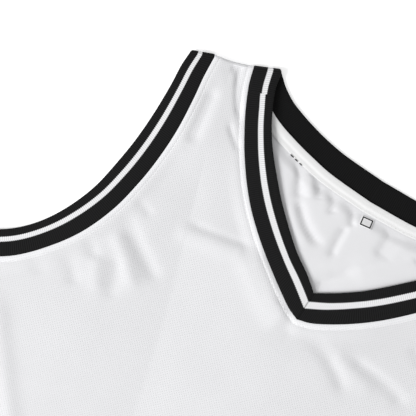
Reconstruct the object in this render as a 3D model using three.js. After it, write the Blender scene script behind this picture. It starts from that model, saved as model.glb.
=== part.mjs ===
// A sleeveless basketball jersey laid flat on its back, in millimetres, +Z up.
// The neck points to +Y and the front faces +Z. X = 0 is the garment's centre line.
// Every outline is given from the inner corner of the V neck and moved at the end,
// so that the origin lies under the middle of the garment, on the surface it rests on.
import * as THREE from "three";

// Cloth
const SEAM_GAP = 0.3; // clear space between two sewn pieces
const PANEL_WALL = 1.2; // mesh knit of the front and the back
const RIB_WALL = 1.8; // doubled rib tape round the neck and the arms
const TAPE_WALL = 1.0; // tape over the back neck seam, and the size tab
const PANEL_REST = PANEL_WALL / 2; // mid height of the back panel
const RIB_REST = RIB_WALL / 2; // mid height of a rib's back half

// Outline
const HEM_Y = -613; // hem on the centre line
const HEM_LIFT = 5; // how much higher the hem is at the side seams
const UNDERARM_Y = -122; // panel corner at the underarm
const UNDERARM_EASE = 0.9; // extra gap between the rib and the panels at that corner
const SIDES = [
  { y: -95, half: 270 },
  { y: -130, half: 269.5 },
  { y: -250, half: 266 },
  { y: -400, half: 266 },
  { y: -530, half: 269 },
  { y: -620, half: 272 },
];

// Sections across each rib, from its opening edge to its seam. x is out from the centre line.
const NECK_FRONT = [
  { openX: 0, openY: 0, seamX: 0, seamY: -22.1 },
  { openX: 13, openY: 9.6, seamX: 14, seamY: -16.1 },
  { openX: 31.3, openY: 23.2, seamX: 45.3, seamY: 5.6 },
  { openX: 52.1, openY: 41.5, seamX: 67.8, seamY: 24.3 },
  { openX: 66.4, openY: 56.2, seamX: 83.1, seamY: 40.6 },
  { openX: 80.5, openY: 72.2, seamX: 97.2, seamY: 59.2 },
  { openX: 90.3, openY: 85.8, seamX: 107.3, seamY: 75.1 },
  { openX: 97.6, openY: 98.7, seamX: 115.4, seamY: 89.8 },
  { openX: 103.6, openY: 112, seamX: 122.2, seamY: 104.7 },
  { openX: 106.7, openY: 125.4, seamX: 125.8, seamY: 116.5 },
];
const NECK_BACK = [
  { openX: 106.7, openY: 125.4, seamX: 125.8, seamY: 116.5 },
  { openX: 102.3, openY: 121.6, seamX: 116.8, seamY: 107 },
  { openX: 97.9, openY: 117.9, seamX: 109.7, seamY: 101.6 },
  { openX: 88.4, openY: 112.2, seamX: 97.9, seamY: 94.5 },
  { openX: 78.1, openY: 108.3, seamX: 86, seamY: 89.3 },
  { openX: 65, openY: 104.5, seamX: 70, seamY: 84.8 },
  { openX: 50.7, openY: 101.3, seamX: 54.1, seamY: 81.3 },
  { openX: 32.1, openY: 98.8, seamX: 34.1, seamY: 77.9 },
  { openX: 0, openY: 97.5, seamX: 0, seamY: 76.1 },
];
const ARMHOLE = [
  { openX: 172, openY: 101.2, seamX: 154.8, seamY: 108.2 },
  { openX: 172.3, openY: 89.9, seamX: 153.7, seamY: 91.9 },
  { openX: 171, openY: 73, seamX: 151.3, seamY: 73.5 },
  { openX: 170.5, openY: 50, seamX: 149.3, seamY: 49 },
  { openX: 171.4, openY: 27, seamX: 149.7, seamY: 24.4 },
  { openX: 174, openY: 5, seamX: 152.2, seamY: 1.4 },
  { openX: 178.5, openY: -19.6, seamX: 157.7, seamY: -25.3 },
  { openX: 187.2, openY: -42.7, seamX: 168.2, seamY: -51.8 },
  { openX: 198.6, openY: -62.1, seamX: 183.1, seamY: -74.4 },
  { openX: 213.3, openY: -78, seamX: 201.7, seamY: -94.5 },
  { openX: 232.5, openY: -90.6, seamX: 224.3, seamY: -109 },
  { openX: 250.8, openY: -97.8, seamX: 245.9, seamY: -117.5 },
  { openX: 267.6, openY: -101.5, seamX: 267.6, seamY: -121.7 },
];
const JOIN_SECTION = 7.7; // where the front neck rib is joined to the back one
const JOIN_TRIM = 0.011; // half of the join's gap, in sections
const MITRE_HALF = 0.2; // half of the gap between the two ribs at the V corner

// Heights of the front layer's middle above the surface
const BODY_LAYER = 2.3; // front panel lying on the back panel
const STRAP_LAYER = 4.6; // on the straps, over the folded ribs and the neck tape
const STRAP_STARTS_Y = 5;
const STRAP_FULL_Y = 70;
const ARM_LAYER = 3.3; // front half of an armhole rib, over its back half
const NECK_LAYER = 4.2; // the V stands a little proud of the back panel
const NECK_OPEN_LIFT = 1; // extra height of the neck's opening edge, half way up
const SIDE_LAYER = 2.9; // just inside the side folds
const LIFT_REACH = 15; // how far from a seam the panel keeps its height
const RIB_CROWN = 0.35; // how much a rib swells between its edges
const PILLOW = 1.7; // air held between the two panels
const PILLOW_REACH = 34; // distance from the outline over which it builds up
const FOLD_REACH = 9; // distance from a seam over which folds build up

// Rounded folds: radius of the middle of the cloth
const SIDE_FOLD = 1;
const SHOULDER_FOLD = 1.85;
const SHOULDER_OUT = { x: 0.346, y: 0.938 }; // direction out of the shoulder fold
const SHOULDER_SAG = 1.2; // dip of the fold between the two ribs

// Largest folds of the front: a ridge (height over 0) or a trough along a bent line.
const FRONT_FOLDS = [
  { x0: -152, y0: -31, xm: -128, ym: -41, x1: -106, y1: -58, reach: 8, height: -1.7 },
  { x0: -158, y0: -40, xm: -132, ym: -50, x1: -110, y1: -68, reach: 9, height: 1.6 },
  { x0: -143, y0: -62, xm: -135, ym: -74, x1: -130, y1: -86, reach: 8, height: -1.2 },
  { x0: -172, y0: -72, xm: -164, ym: -79, x1: -155, y1: -90, reach: 8, height: -1.2 },
  { x0: -112, y0: -15, xm: -86, ym: -9, x1: -52, y1: -1, reach: 10, height: 1.5 },
  { x0: -196, y0: -128, xm: -168, ym: -166, x1: -128, y1: -212, reach: 12, height: 1.8 },
  { x0: 10, y0: -28, xm: 32, ym: -38, x1: 60, y1: -56, reach: 8, height: -1.5 },
  { x0: 30, y0: -26, xm: 54, ym: -38, x1: 82, y1: -56, reach: 9, height: 1.4 },
  { x0: 50, y0: -26, xm: 76, ym: -30, x1: 106, y1: -42, reach: 9, height: -1.4 },
  { x0: 150, y0: -26, xm: 118, ym: -34, x1: 88, y1: -58, reach: 11, height: 1.4 },
  { x0: 166, y0: -60, xm: 140, ym: -84, x1: 122, y1: -124, reach: 10, height: -1.6 },
  { x0: 206, y0: -116, xm: 172, ym: -150, x1: 150, y1: -216, reach: 13, height: -1.8 },
  { x0: 222, y0: -124, xm: 196, ym: -168, x1: 180, y1: -250, reach: 14, height: 2.2 },
  { x0: -236, y0: -150, xm: -226, ym: -250, x1: -232, y1: -360, reach: 16, height: 2.0 },
  { x0: -96, y0: -250, xm: -84, ym: -340, x1: -104, y1: -450, reach: 22, height: 2.4 },
  { x0: -150, y0: -300, xm: -140, ym: -400, x1: -166, y1: -520, reach: 18, height: -1.6 },
  { x0: 30, y0: -170, xm: 16, ym: -270, x1: 34, y1: -390, reach: 24, height: 1.8 },
  { x0: 104, y0: -290, xm: 92, ym: -400, x1: 112, y1: -530, reach: 20, height: 2.3 },
  { x0: 62, y0: -330, xm: 52, ym: -440, x1: 64, y1: -560, reach: 16, height: -1.6 },
  { x0: -30, y0: -440, xm: -44, ym: -530, x1: -36, y1: -620, reach: 18, height: 2.2 },
  { x0: 170, y0: -430, xm: 176, ym: -520, x1: 164, y1: -620, reach: 17, height: 2.4 },
  { x0: 236, y0: -330, xm: 224, ym: -430, x1: 238, y1: -540, reach: 15, height: -1.5 },
  { x0: -196, y0: -440, xm: -206, ym: -530, x1: -190, y1: -620, reach: 16, height: 2.1 },
];

// Where the laid-out neck is drawn askew: a place, how far its pull reaches, and how far it moves
const PULLS = [
  { x: 38, y: -8, reach: 58, moveX: 0.9, moveY: -2.4 },
  { x: -8, y: 4, reach: 24, moveX: 0.3, moveY: 1.2 },
];

// Neck tape and size tab, as shares of the back rib's width
const TAPE_START = 0.84;
const TAPE_END = 1.275;
const TAPE_LAST_SECTION = 1; // stops this many sections short of the shoulder fold
const TAB_WIDTH = 9.6;
const TAB_HEIGHT = 7.8;
const TAB_X = 5.7;
const TAB_DROP = 1.1; // gap below the tape, mm
const TAB_TURN = 0.14; // how far the tab is turned in its plane, radians

// Mesh density
const SIDE_ROWS = 16;
const FRONT = { neck: NECK_FRONT, centreY: -215, armSplit: 6, lower: 12, upper: 16, middle: 12 };
const BACK = { neck: NECK_BACK, centreY: -180, armSplit: 3.5, lower: 13, upper: 12, middle: 3 };
const FRONT_BAND = [0, 0.6, 2.4, 8];
const BACK_BAND = [0, 0.6, 4];
const RIB_ACROSS = 3;
const TAPE_ACROSS = 4;
const FOLD_STEPS = 5;
const LINE_POINTS = 60;

const clamp01 = (t) => Math.min(1, Math.max(0, t));
const mix = (a, b, t) => a + (b - a) * t;
function smooth(from, to, value) {
  const t = clamp01((value - from) / (to - from));
  return t * t * (3 - 2 * t);
}
// Rounds off the corner at 0 of max(value, 0).
function softFloor(value, rounding = 0.5) {
  return (value + Math.sqrt(value * value + rounding * rounding)) / 2;
}

// A value of a table of sections at a fractional row, by a Catmull-Rom curve.
function along(table, key, row) {
  const last = table.length - 1;
  const i = Math.min(last - 1, Math.max(0, Math.floor(row)));
  const t = row - i;
  const at = (k) => {
    if (k < 0) return 2 * table[0][key] - table[1][key];
    if (k > last) return 2 * table[last][key] - table[last - 1][key];
    return table[k][key];
  };
  const [a, b, c, d] = [at(i - 1), at(i), at(i + 1), at(i + 2)];
  const bend = 2 * a - 5 * b + 4 * c - d + (3 * b - a - 3 * c + d) * t;
  return b + 0.5 * t * (c - a + t * bend);
}
function section(table, row) {
  return {
    openX: along(table, "openX", row),
    openY: along(table, "openY", row),
    seamX: along(table, "seamX", row),
    seamY: along(table, "seamY", row),
  };
}
// Fractional rows between two rows of a table, evenly spaced along the seam edge.
function evenRows(table, from, to, count) {
  const fine = 160;
  const rows = [];
  const lengths = [0];
  for (let i = 0; i <= fine; i++) {
    rows.push(mix(from, to, i / fine));
    if (i === 0) continue;
    const [a, b] = [section(table, rows[i - 1]), section(table, rows[i])];
    lengths.push(lengths[i - 1] + Math.hypot(b.seamX - a.seamX, b.seamY - a.seamY));
  }
  const picked = [];
  for (let k = 0; k <= count; k++) {
    const want = (lengths[fine] * k) / count;
    let i = 1;
    while (i < fine && lengths[i] < want) i++;
    const share = (want - lengths[i - 1]) / (lengths[i] - lengths[i - 1]);
    picked.push(mix(rows[i - 1], rows[i], share));
  }
  return picked;
}
function seamLine(table) {
  return evenRows(table, 0, table.length - 1, LINE_POINTS).map((row) => {
    const s = section(table, row);
    return { x: s.seamX, y: s.seamY };
  });
}
// Distance from a point to a line of points, and how far along that line it is, from 0 to 1.
function toLine(line, x, y) {
  let best = { distance: Infinity, share: 0 };
  for (let i = 1; i < line.length; i++) {
    const [a, b] = [line[i - 1], line[i]];
    const [dx, dy] = [b.x - a.x, b.y - a.y];
    const t = clamp01(((x - a.x) * dx + (y - a.y) * dy) / (dx * dx + dy * dy));
    const distance = Math.hypot(x - a.x - dx * t, y - a.y - dy * t);
    if (distance < best.distance) best = { distance, share: (i - 1 + t) / (line.length - 1) };
  }
  return best;
}

const ARM_SEAM = seamLine(ARMHOLE);
const NECK_SEAM = seamLine(NECK_FRONT);

// Rows of a panel's mesh on its armhole seam and on its neck seam. The ribs use the same ones,
// so that both edges of a seam have the same corners.
const ARM_END = ARMHOLE.length - 1;
const [FRONT_END, BACK_END] = [NECK_FRONT.length - 1, NECK_BACK.length - 1];
const armRows = (half) => [
  ...evenRows(ARMHOLE, ARM_END, half.armSplit, half.lower),
  ...evenRows(ARMHOLE, half.armSplit, 0, half.upper).slice(1),
];
const neckRows = (half) =>
  half === FRONT
    ? evenRows(NECK_FRONT, 0, FRONT_END, half.upper)
    : evenRows(NECK_BACK, BACK_END, 0, half.upper);

function sideHalf(y) {
  let i = 0;
  while (i < SIDES.length - 2 && y < SIDES[i + 1].y) i++;
  return along(SIDES, "half", i + (SIDES[i].y - y) / (SIDES[i].y - SIDES[i + 1].y));
}
const hemY = (x) => HEM_Y + HEM_LIFT * (x / sideHalf(HEM_Y)) ** 2;
// How far inside the middle of the cloth at the side fold a point is.
const insideSide = (x, y) => sideHalf(y) - PANEL_WALL / 2 - Math.abs(x);
// The same for the shoulder fold, which runs between the two ribs' seams.
function insideShoulder(x, y) {
  const [neck, arm] = [NECK_FRONT.at(-1), ARMHOLE[0]];
  const t = (Math.abs(x) - neck.seamX) / (arm.seamX - neck.seamX);
  const sag = SHOULDER_SAG * Math.sin(Math.PI * clamp01(t));
  const fold = mix(neck.seamY, arm.seamY, t) - sag + SHOULDER_FOLD / SHOULDER_OUT.y;
  return (fold - y) * SHOULDER_OUT.y;
}
// How far a rounded fold has turned down, inside from its outermost line.
function foldDrop(inside, radius) {
  const left = Math.min(radius, Math.max(0, radius - inside));
  return radius - Math.sqrt(radius * radius - left * left);
}
function foldHeight(folds, x, y) {
  let sum = 0;
  for (const f of folds) {
    const line = [];
    for (let k = 0; k <= 8; k++) {
      const t = k / 8;
      const [a, b, c] = [(1 - t) ** 2, 2 * t * (1 - t), t * t];
      line.push({ x: a * f.x0 + b * f.xm + c * f.x1, y: a * f.y0 + b * f.ym + c * f.y1 });
    }
    const near = toLine(line, x, y);
    const taper = Math.min(1, 2.4 * Math.sin(Math.PI * (0.1 + 0.8 * near.share)) ** 1.5);
    sum += f.height * taper * Math.exp(-((near.distance / f.reach) ** 2));
  }
  return sum;
}
// Mid height of the front layer without its folds. The weights are 1 on a rib.
function frontBase(y, armWeight, neckWeight) {
  const strap = mix(BODY_LAYER, STRAP_LAYER, smooth(STRAP_STARTS_Y, STRAP_FULL_Y, y));
  const arm = Math.max(0, ARM_LAYER - strap) * armWeight;
  const neck = Math.max(0, NECK_LAYER - strap) * neckWeight;
  return strap + Math.max(arm, neck);
}
function frontHeight(x, y) {
  const arm = toLine(ARM_SEAM, Math.abs(x), y).distance;
  const neck = toLine(NECK_SEAM, Math.abs(x), y).distance;
  const side = insideSide(x, y);
  const near = (distance) => 1 - smooth(0, LIFT_REACH, distance);
  const sideLayer = mix(BODY_LAYER, SIDE_LAYER, near(side));
  const base = Math.max(frontBase(y, near(arm), near(neck)), sideLayer);
  const seam = Math.min(arm, neck, side, insideShoulder(x, y));
  const pillow = PILLOW * smooth(0, PILLOW_REACH, Math.min(seam, y - HEM_Y + 8));
  const folds = foldHeight(FRONT_FOLDS, x, y) * smooth(0, FOLD_REACH, seam);
  const loft = softFloor(pillow + folds) - softFloor(0);
  const drop = Math.max(
    foldDrop(side, SIDE_FOLD),
    foldDrop(insideShoulder(x, y), SHOULDER_FOLD),
  );
  return base + loft * smooth(0, 3, seam) - drop;
}
function backHeight(x, y) {
  const rise = Math.max(
    foldDrop(insideSide(x, y), SIDE_FOLD),
    foldDrop(insideShoulder(x, y), SHOULDER_FOLD),
  );
  return PANEL_REST + rise;
}

// A point of the plan, moved by the pulls.
function askew(x, y) {
  const moved = { x, y };
  for (const p of PULLS) {
    const share = Math.max(0, 1 - ((x - p.x) ** 2 + (y - p.y) ** 2) / p.reach ** 2) ** 2;
    moved.x += p.moveX * share;
    moved.y += p.moveY * share;
  }
  return moved;
}
// A closed wall round a surface, whose triangles face away from the garment's inside.
function wall({ points, triangles, facings }, thickness) {
  const normals = points.map(() => new THREE.Vector3());
  const [ab, ac] = [new THREE.Vector3(), new THREE.Vector3()];
  const edges = new Set();
  for (const [a, b, c] of triangles) {
    ab.subVectors(points[b], points[a]);
    ac.subVectors(points[c], points[a]);
    const facing = ab.cross(ac).normalize();
    for (const i of [a, b, c]) normals[i].add(facing);
    for (const [i, j] of [[a, b], [b, c], [c, a]]) edges.add(i + "," + j);
  }
  facings.forEach((facing, i) => normals[i].copy(facing));
  const count = points.length;
  const position = [];
  for (const side of [0.5, -0.5]) {
    points.forEach((p, i) => {
      const moved = p.clone().addScaledVector(normals[i].normalize(), side * thickness);
      const laid = askew(moved.x, moved.y);
      position.push(laid.x, laid.y, moved.z);
    });
  }
  const index = [];
  for (const [a, b, c] of triangles) index.push(a, b, c, count + c, count + b, count + a);
  for (const edge of edges) {
    const [a, b] = edge.split(",").map(Number);
    if (edges.has(b + "," + a)) continue;
    index.push(b, a, count + a, b, count + a, count + b);
  }
  const geometry = new THREE.BufferGeometry();
  geometry.setAttribute("position", new THREE.Float32BufferAttribute(position, 3));
  geometry.setIndex(index);
  geometry.computeVertexNormals();
  return geometry;
}
// Points shared by their place, so that the two halves of a panel are one surface.
// A point may be given the way it faces, as on an edge that ends a fold.
function surface() {
  const [points, known, facings] = [[], new Map(), new Map()];
  const add = (x, y, z, facing) => {
    const key = [x, y, z].map((v) => Math.round(v * 1000)).join();
    if (!known.has(key)) {
      known.set(key, points.length);
      points.push(new THREE.Vector3(x, y, z));
    }
    if (facing) facings.set(known.get(key), facing);
    return known.get(key);
  };
  return { points, triangles: [], facings, add };
}
// Joins a grid of point numbers into triangles. flip turns them round.
function joinGrid(made, grid, flip, closed = false) {
  const rows = closed ? grid.length : grid.length - 1;
  for (let r = 0; r < rows; r++) {
    const [low, high] = [grid[r], grid[(r + 1) % grid.length]];
    for (let c = 0; c + 1 < low.length; c++) {
      const quad = [low[c], low[c + 1], high[c + 1], high[c]];
      if (flip) quad.reverse();
      made.triangles.push([quad[0], quad[1], quad[2]], [quad[0], quad[2], quad[3]]);
    }
  }
}

// A seam point moved into the panel by the seam gap.
function panelSeam(table, row) {
  const s = section(table, row);
  const width = Math.hypot(s.seamX - s.openX, s.seamY - s.openY);
  return {
    x: s.seamX + ((s.seamX - s.openX) / width) * SEAM_GAP,
    y: s.seamY + ((s.seamY - s.openY) / width) * SEAM_GAP,
  };
}
// Rows of one half of a panel, each from its outer edge to the centre line or the neck.
function panelRows(half) {
  const [arms, necks] = [armRows(half), neckRows(half)];
  const top = panelSeam(half.neck, necks[0]).y;
  const rows = [];
  for (let i = 0; i < SIDE_ROWS; i++) {
    const t = i / SIDE_ROWS;
    const y = mix(hemY(sideHalf(HEM_Y)), UNDERARM_Y, t);
    rows.push({ outX: sideHalf(y), outY: y, inX: 0, inY: mix(HEM_Y, half.centreY, t), onSide: true });
  }
  arms.forEach((armRow, i) => {
    const arm = panelSeam(ARMHOLE, armRow);
    const upper = i - half.lower;
    const share = Math.max(0, upper / half.upper);
    const inner =
      upper < 0 ? { x: 0, y: mix(half.centreY, top, i / half.lower) } : panelSeam(half.neck, necks[upper]);
    const sag = SHOULDER_SAG * share ** 3;
    const outY = arm.y - (i === 0 ? UNDERARM_EASE : 0);
    rows.push({ outX: arm.x, outY, inX: inner.x, inY: inner.y, onSide: i === 0, sag });
  });
  for (const row of rows) if (row.onSide) row.outX = sideHalf(row.outY) - PANEL_WALL / 2;
  // The last rows turn round the shoulder fold.
  const end = rows.at(-1);
  for (const turn of [0.5, 0.87, 1]) {
    const [dx, dy] = [SHOULDER_OUT.x * SHOULDER_FOLD * turn, SHOULDER_OUT.y * SHOULDER_FOLD * turn];
    rows.push({
      outX: end.outX + dx,
      outY: end.outY + dy,
      inX: end.inX + dx,
      inY: end.inY + dy,
      sag: end.sag,
      turn,
    });
  }
  return rows;
}
// Columns of one row: close together at both edges, even between them.
function columnShares(length, middle, edgeBand) {
  const edge = Math.min(edgeBand.at(-1) / length, 0.25);
  const band = edgeBand.map((d) => (edge * d) / edgeBand.at(-1));
  const shares = [...band];
  for (let i = 1; i < middle; i++) shares.push(mix(edge, 1 - edge, i / middle));
  for (const b of [...band].reverse()) shares.push(1 - b);
  return shares;
}
function panel(half, height, edgeBand) {
  const made = surface();
  const facesDown = half === BACK;
  const rows = panelRows(half);
  for (const side of [-1, 1]) {
    const sideways = new THREE.Vector3(side, 0, 0);
    const shoulder = new THREE.Vector3(side * SHOULDER_OUT.x, SHOULDER_OUT.y, 0);
    const grid = rows.map((row) => {
      const length = Math.hypot(row.inX - row.outX, row.inY - row.outY);
      return columnShares(length, half.middle, edgeBand).map((share) => {
        const x = side * mix(row.outX, row.inX, share);
        const y = mix(row.outY, row.inY, share) - (row.sag ?? 0) * Math.sin(Math.PI * share);
        if (!row.turn) {
          return made.add(x, y, height(x, y), row.onSide && share === 0 ? sideways : undefined);
        }
        const drop = SHOULDER_FOLD * (1 - Math.sqrt(1 - row.turn * row.turn));
        const z = facesDown ? PANEL_REST + drop : STRAP_LAYER - drop;
        return made.add(x, y, z, row.turn === 1 ? shoulder : undefined);
      });
    });
    joinGrid(made, grid, side > 0 !== facesDown);
  }
  return wall(made, PANEL_WALL);
}

// One section of a rib: points from the opening edge to the seam.
function ribSection(made, s, side, openZ, seamZ, out = { x: 0, y: 0 }, crown = 1) {
  const ids = [];
  for (let k = 0; k <= RIB_ACROSS; k++) {
    const u = k / RIB_ACROSS;
    ids.push(
      made.add(
        side * (mix(s.openX, s.seamX, u) + out.x),
        mix(s.openY, s.seamY, u) + out.y,
        mix(openZ, seamZ, u) + crown * RIB_CROWN * Math.sin(Math.PI * u),
      ),
    );
  }
  return ids;
}
// The sections of a rib that turn round a fold, from the front layer down to the back one.
function turnSections(made, s, side, frontOpen, frontSeam, direction) {
  const grid = [];
  for (let k = 1; k < FOLD_STEPS; k++) {
    const angle = (Math.PI * k) / FOLD_STEPS;
    const [low, shrink] = [RIB_REST, (1 + Math.cos(angle)) / 2];
    const radius = (mix(frontOpen, frontSeam, 0.5) - low) / 2;
    const out = { x: direction.x * radius * Math.sin(angle), y: direction.y * radius * Math.sin(angle) };
    const [open, seam] = [mix(low, frontOpen, shrink), mix(low, frontSeam, shrink)];
    grid.push(ribSection(made, s, side, open, seam, out, 0));
  }
  return grid;
}
const ribLayer = (s, arm, neck) => ({
  open: frontBase(s.openY, arm, neck),
  seam: frontBase(s.seamY, arm, neck),
});
function armholeRib(side) {
  const made = surface();
  const grid = [];
  for (const row of armRows(FRONT).reverse()) {
    const s = section(ARMHOLE, row);
    const z = ribLayer(s, 1, 0);
    const crown = row === 0 || row === ARM_END ? 0 : 1;
    grid.push(ribSection(made, s, side, z.open, z.seam, undefined, crown));
  }
  const underarm = section(ARMHOLE, ARM_END);
  const low = ribLayer(underarm, 1, 0);
  grid.push(...turnSections(made, underarm, side, low.open, low.seam, { x: 1, y: 0 }));
  for (const row of armRows(BACK)) {
    grid.push(ribSection(made, section(ARMHOLE, row), side, RIB_REST, RIB_REST, undefined, 0));
  }
  const top = section(ARMHOLE, 0);
  const high = ribLayer(top, 1, 0);
  grid.push(...turnSections(made, top, side, high.open, high.seam, SHOULDER_OUT).reverse());
  joinGrid(made, grid, side < 0, true);
  return wall(made, RIB_WALL);
}
// Height of the front neck rib, lifted along its opening edge between the V and the shoulder.
function neckLayer(row, s) {
  const z = ribLayer(s, 0, 1);
  const share = row / FRONT_END;
  z.open += NECK_OPEN_LIFT * Math.sin(Math.PI * share);
  return z;
}
function neckFrontSection(made, row, side, crown = 1) {
  const s = section(NECK_FRONT, row);
  const z = neckLayer(row, s);
  s.openX = Math.max(s.openX, MITRE_HALF);
  s.seamX = Math.max(s.seamX, MITRE_HALF);
  return ribSection(made, s, side, z.open, z.seam, undefined, crown);
}
function neckRibFront(side) {
  const made = surface();
  const rows = neckRows(FRONT).filter((row) => row < JOIN_SECTION - 2 * JOIN_TRIM);
  rows.push(JOIN_SECTION - JOIN_TRIM);
  joinGrid(made, rows.map((row) => neckFrontSection(made, row, side)), side < 0);
  return wall(made, RIB_WALL);
}
function neckRibBack() {
  const made = surface();
  const front = neckRows(FRONT).filter((row) => row > JOIN_SECTION + 2 * JOIN_TRIM);
  front.unshift(JOIN_SECTION + JOIN_TRIM);
  const back = neckRows(BACK).reverse();
  for (const side of [-1, 1]) {
    const grid = front.map((row) => neckFrontSection(made, row, side, row === FRONT_END ? 0 : 1));
    const fold = section(NECK_FRONT, FRONT_END);
    const z = neckLayer(FRONT_END, fold);
    grid.push(...turnSections(made, fold, side, z.open, z.seam, SHOULDER_OUT));
    for (const row of back) {
      grid.push(ribSection(made, section(NECK_BACK, row), side, RIB_REST, RIB_REST, undefined, 0));
    }
    joinGrid(made, grid, side < 0);
  }
  return wall(made, RIB_WALL);
}

// The tape over the back neck seam lies on the rib's and the panel's inner faces.
function neckTape() {
  const made = surface();
  const rows = neckRows(BACK).filter((row) => row > TAPE_LAST_SECTION);
  const over = (wallBelow) => wallBelow + SEAM_GAP + TAPE_WALL / 2;
  for (const side of [-1, 1]) {
    const grid = rows.map((row) => {
      const s = section(NECK_BACK, row);
      const ids = [];
      for (let k = 0; k <= TAPE_ACROSS; k++) {
        const u = mix(TAPE_START, TAPE_END, k / TAPE_ACROSS);
        const z = mix(over(RIB_WALL), over(PANEL_WALL), smooth(1.06, 1.2, u));
        ids.push(made.add(side * mix(s.openX, s.seamX, u), mix(s.openY, s.seamY, u), z));
      }
      return ids;
    });
    joinGrid(made, grid, side < 0);
  }
  return wall(made, TAPE_WALL);
}
function sizeTab() {
  const made = surface();
  const middle = NECK_BACK.at(-1);
  const high = mix(middle.openY, middle.seamY, TAPE_END) - TAB_DROP - TAB_HEIGHT / 2;
  const grid = [-0.5, 0, 0.5].map((up) =>
    [-0.5, 0, 0.5].map((across) => {
      const [x, y] = [TAB_WIDTH * across, TAB_HEIGHT * up];
      const turnedX = x * Math.cos(TAB_TURN) - y * Math.sin(TAB_TURN);
      const turnedY = x * Math.sin(TAB_TURN) + y * Math.cos(TAB_TURN);
      return made.add(TAB_X + turnedX, high + turnedY, PANEL_WALL + SEAM_GAP + TAPE_WALL / 2);
    }),
  );
  joinGrid(made, grid, false);
  return wall(made, TAPE_WALL);
}

const COLOURS = {
  mesh: { color: 0xf4f4f4, roughness: 0.85 },
  rib: { color: 0x1b1b1c, roughness: 0.8 },
  tape: { color: 0xf7f7f7, roughness: 0.9 },
};
function piece(name, geometry, cloth) {
  const material = new THREE.MeshStandardMaterial({ ...COLOURS[cloth], metalness: 0 });
  const mesh = new THREE.Mesh(geometry, material);
  mesh.name = name;
  return mesh;
}

const jersey = new THREE.Group();
jersey.add(
  piece("front_panel", panel(FRONT, frontHeight, FRONT_BAND), "mesh"),
  piece("back_panel", panel(BACK, backHeight, BACK_BAND), "mesh"),
  piece("neck_rib_front_left", neckRibFront(-1), "rib"),
  piece("neck_rib_front_right", neckRibFront(1), "rib"),
  piece("neck_rib_back", neckRibBack(), "rib"),
  piece("armhole_rib_left", armholeRib(-1), "rib"),
  piece("armhole_rib_right", armholeRib(1), "rib"),
  piece("back_neck_tape", neckTape(), "tape"),
  piece("size_tab", sizeTab(), "tape"),
);
const bounds = new THREE.Box3().setFromObject(jersey);
jersey.position.y = -(bounds.min.y + bounds.max.y) / 2;

export default jersey;
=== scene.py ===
"""A sleeveless basketball jersey in white mesh knit with striped rib trims, laid flat on its back.

Sizes are in millimetres until a mesh is made. The garment's own frame has its origin at the
inner corner of the V neck, +X to the right, +Y towards the neck and +Z up out of the front.
"""

import math
from collections import namedtuple

import bpy
import numpy as np
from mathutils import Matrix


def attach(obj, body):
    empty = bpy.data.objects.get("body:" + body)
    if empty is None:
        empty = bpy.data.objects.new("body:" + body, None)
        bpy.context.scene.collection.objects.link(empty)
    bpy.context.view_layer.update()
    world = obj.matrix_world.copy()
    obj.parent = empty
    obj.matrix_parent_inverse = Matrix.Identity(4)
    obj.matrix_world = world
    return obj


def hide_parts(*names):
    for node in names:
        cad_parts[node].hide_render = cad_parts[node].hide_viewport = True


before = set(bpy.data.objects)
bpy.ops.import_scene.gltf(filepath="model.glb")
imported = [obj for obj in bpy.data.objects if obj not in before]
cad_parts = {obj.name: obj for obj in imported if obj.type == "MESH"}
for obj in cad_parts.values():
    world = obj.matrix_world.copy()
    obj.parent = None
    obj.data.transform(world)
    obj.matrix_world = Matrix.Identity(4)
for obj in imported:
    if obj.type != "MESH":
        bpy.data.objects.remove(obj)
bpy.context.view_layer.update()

bl_info = {
    "name": "Basketball Jersey",
    "version": (1, 0, 0),
    "blender": (4, 5, 0),
    "location": "3D View > Sidebar > Jersey",
    "description": "Builds a basketball jersey laid flat, with its stage",
    "category": "Add Mesh",
}

# Cloth and layers, as in the solids
METRE = 1000  # in millimetres
V_CORNER_Y = 242.59  # the V corner's place along the row's Y
SEAM_GAP = 0.1  # the pieces nearly touch at a seam
PANEL_WALL = 1.2
RIB_WALL = 1.8
TAPE_WALL = 1.0
PANEL_REST = PANEL_WALL / 2
RIB_REST = RIB_WALL / 2
HEM_Y = -613.0
HEM_LIFT = 5.0
HEM_FOLD = 20.0  # depth of the turned hem
HEM_ROWS = (1, 4)  # how far below its upper edge the two rows of stitches run
HEM_SEWN_HALF = 268.0  # half of the length of those rows
UNDERARM_Y = -122.0
STRAP_STARTS_Y = 5.0
STRAP_FULL_Y = 70.0
BODY_LAYER = 2.3
STRAP_LAYER = 4.6
ARM_LAYER = 3.3
NECK_LAYER = 4.2
NECK_OPEN_LIFT = 1.0
SIDE_LAYER = 2.9
LIFT_REACH = 15.0
RIB_CROWN = 0.35
PILLOW = 1.7
PILLOW_REACH = 34.0
FOLD_REACH = 9.0
SIDE_FOLD = 1.0
SHOULDER_FOLD = 1.85
SHOULDER_OUT = np.array((0.346, 0.938))
SHOULDER_SAG = 1.2
STRAP_ROOM = 1.5  # how deep a crease of a strap may sink
BODY_ROOM = 0.3  # the same on the body
HEM_PILLOW = 8.0  # how far along its rise the pillow starts at the hem
CREASE_REACH = 3.0  # distance from a seam over which creases build up
BACK_LOFT = 2.3  # how high the back panel rises inside the neck
LOFT_CLEAR = (6, 16)  # over which distances from the back neck's seam
LOFT_EDGE = (-8, 6)  # and from outside to inside the V's edge
CREASE_CLEAR = (5, 9)  # the same for its creases, from the back neck's seam
LOFT_ROUNDING = 0.3
CORNER_PULL = 1.2  # how much a rib's opening edge draws in on a fold
CROWN_EASE = 0.5  # sections over which a rib's swell starts
JOIN_SECTION = 7.7
JOIN_TRIM = 0.003
MITRE_HALF = 0.06
MITRE_SECTIONS = 3  # how far up the V a stripe follows the limb's straight edge
MITRE_REACH = (20, 34)  # and over which distances from the centre line it stops
MITRE_BEYOND = 40.0  # how far that edge is drawn on past the corner
NECK_RIB_WIDTH = 23.0
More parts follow.
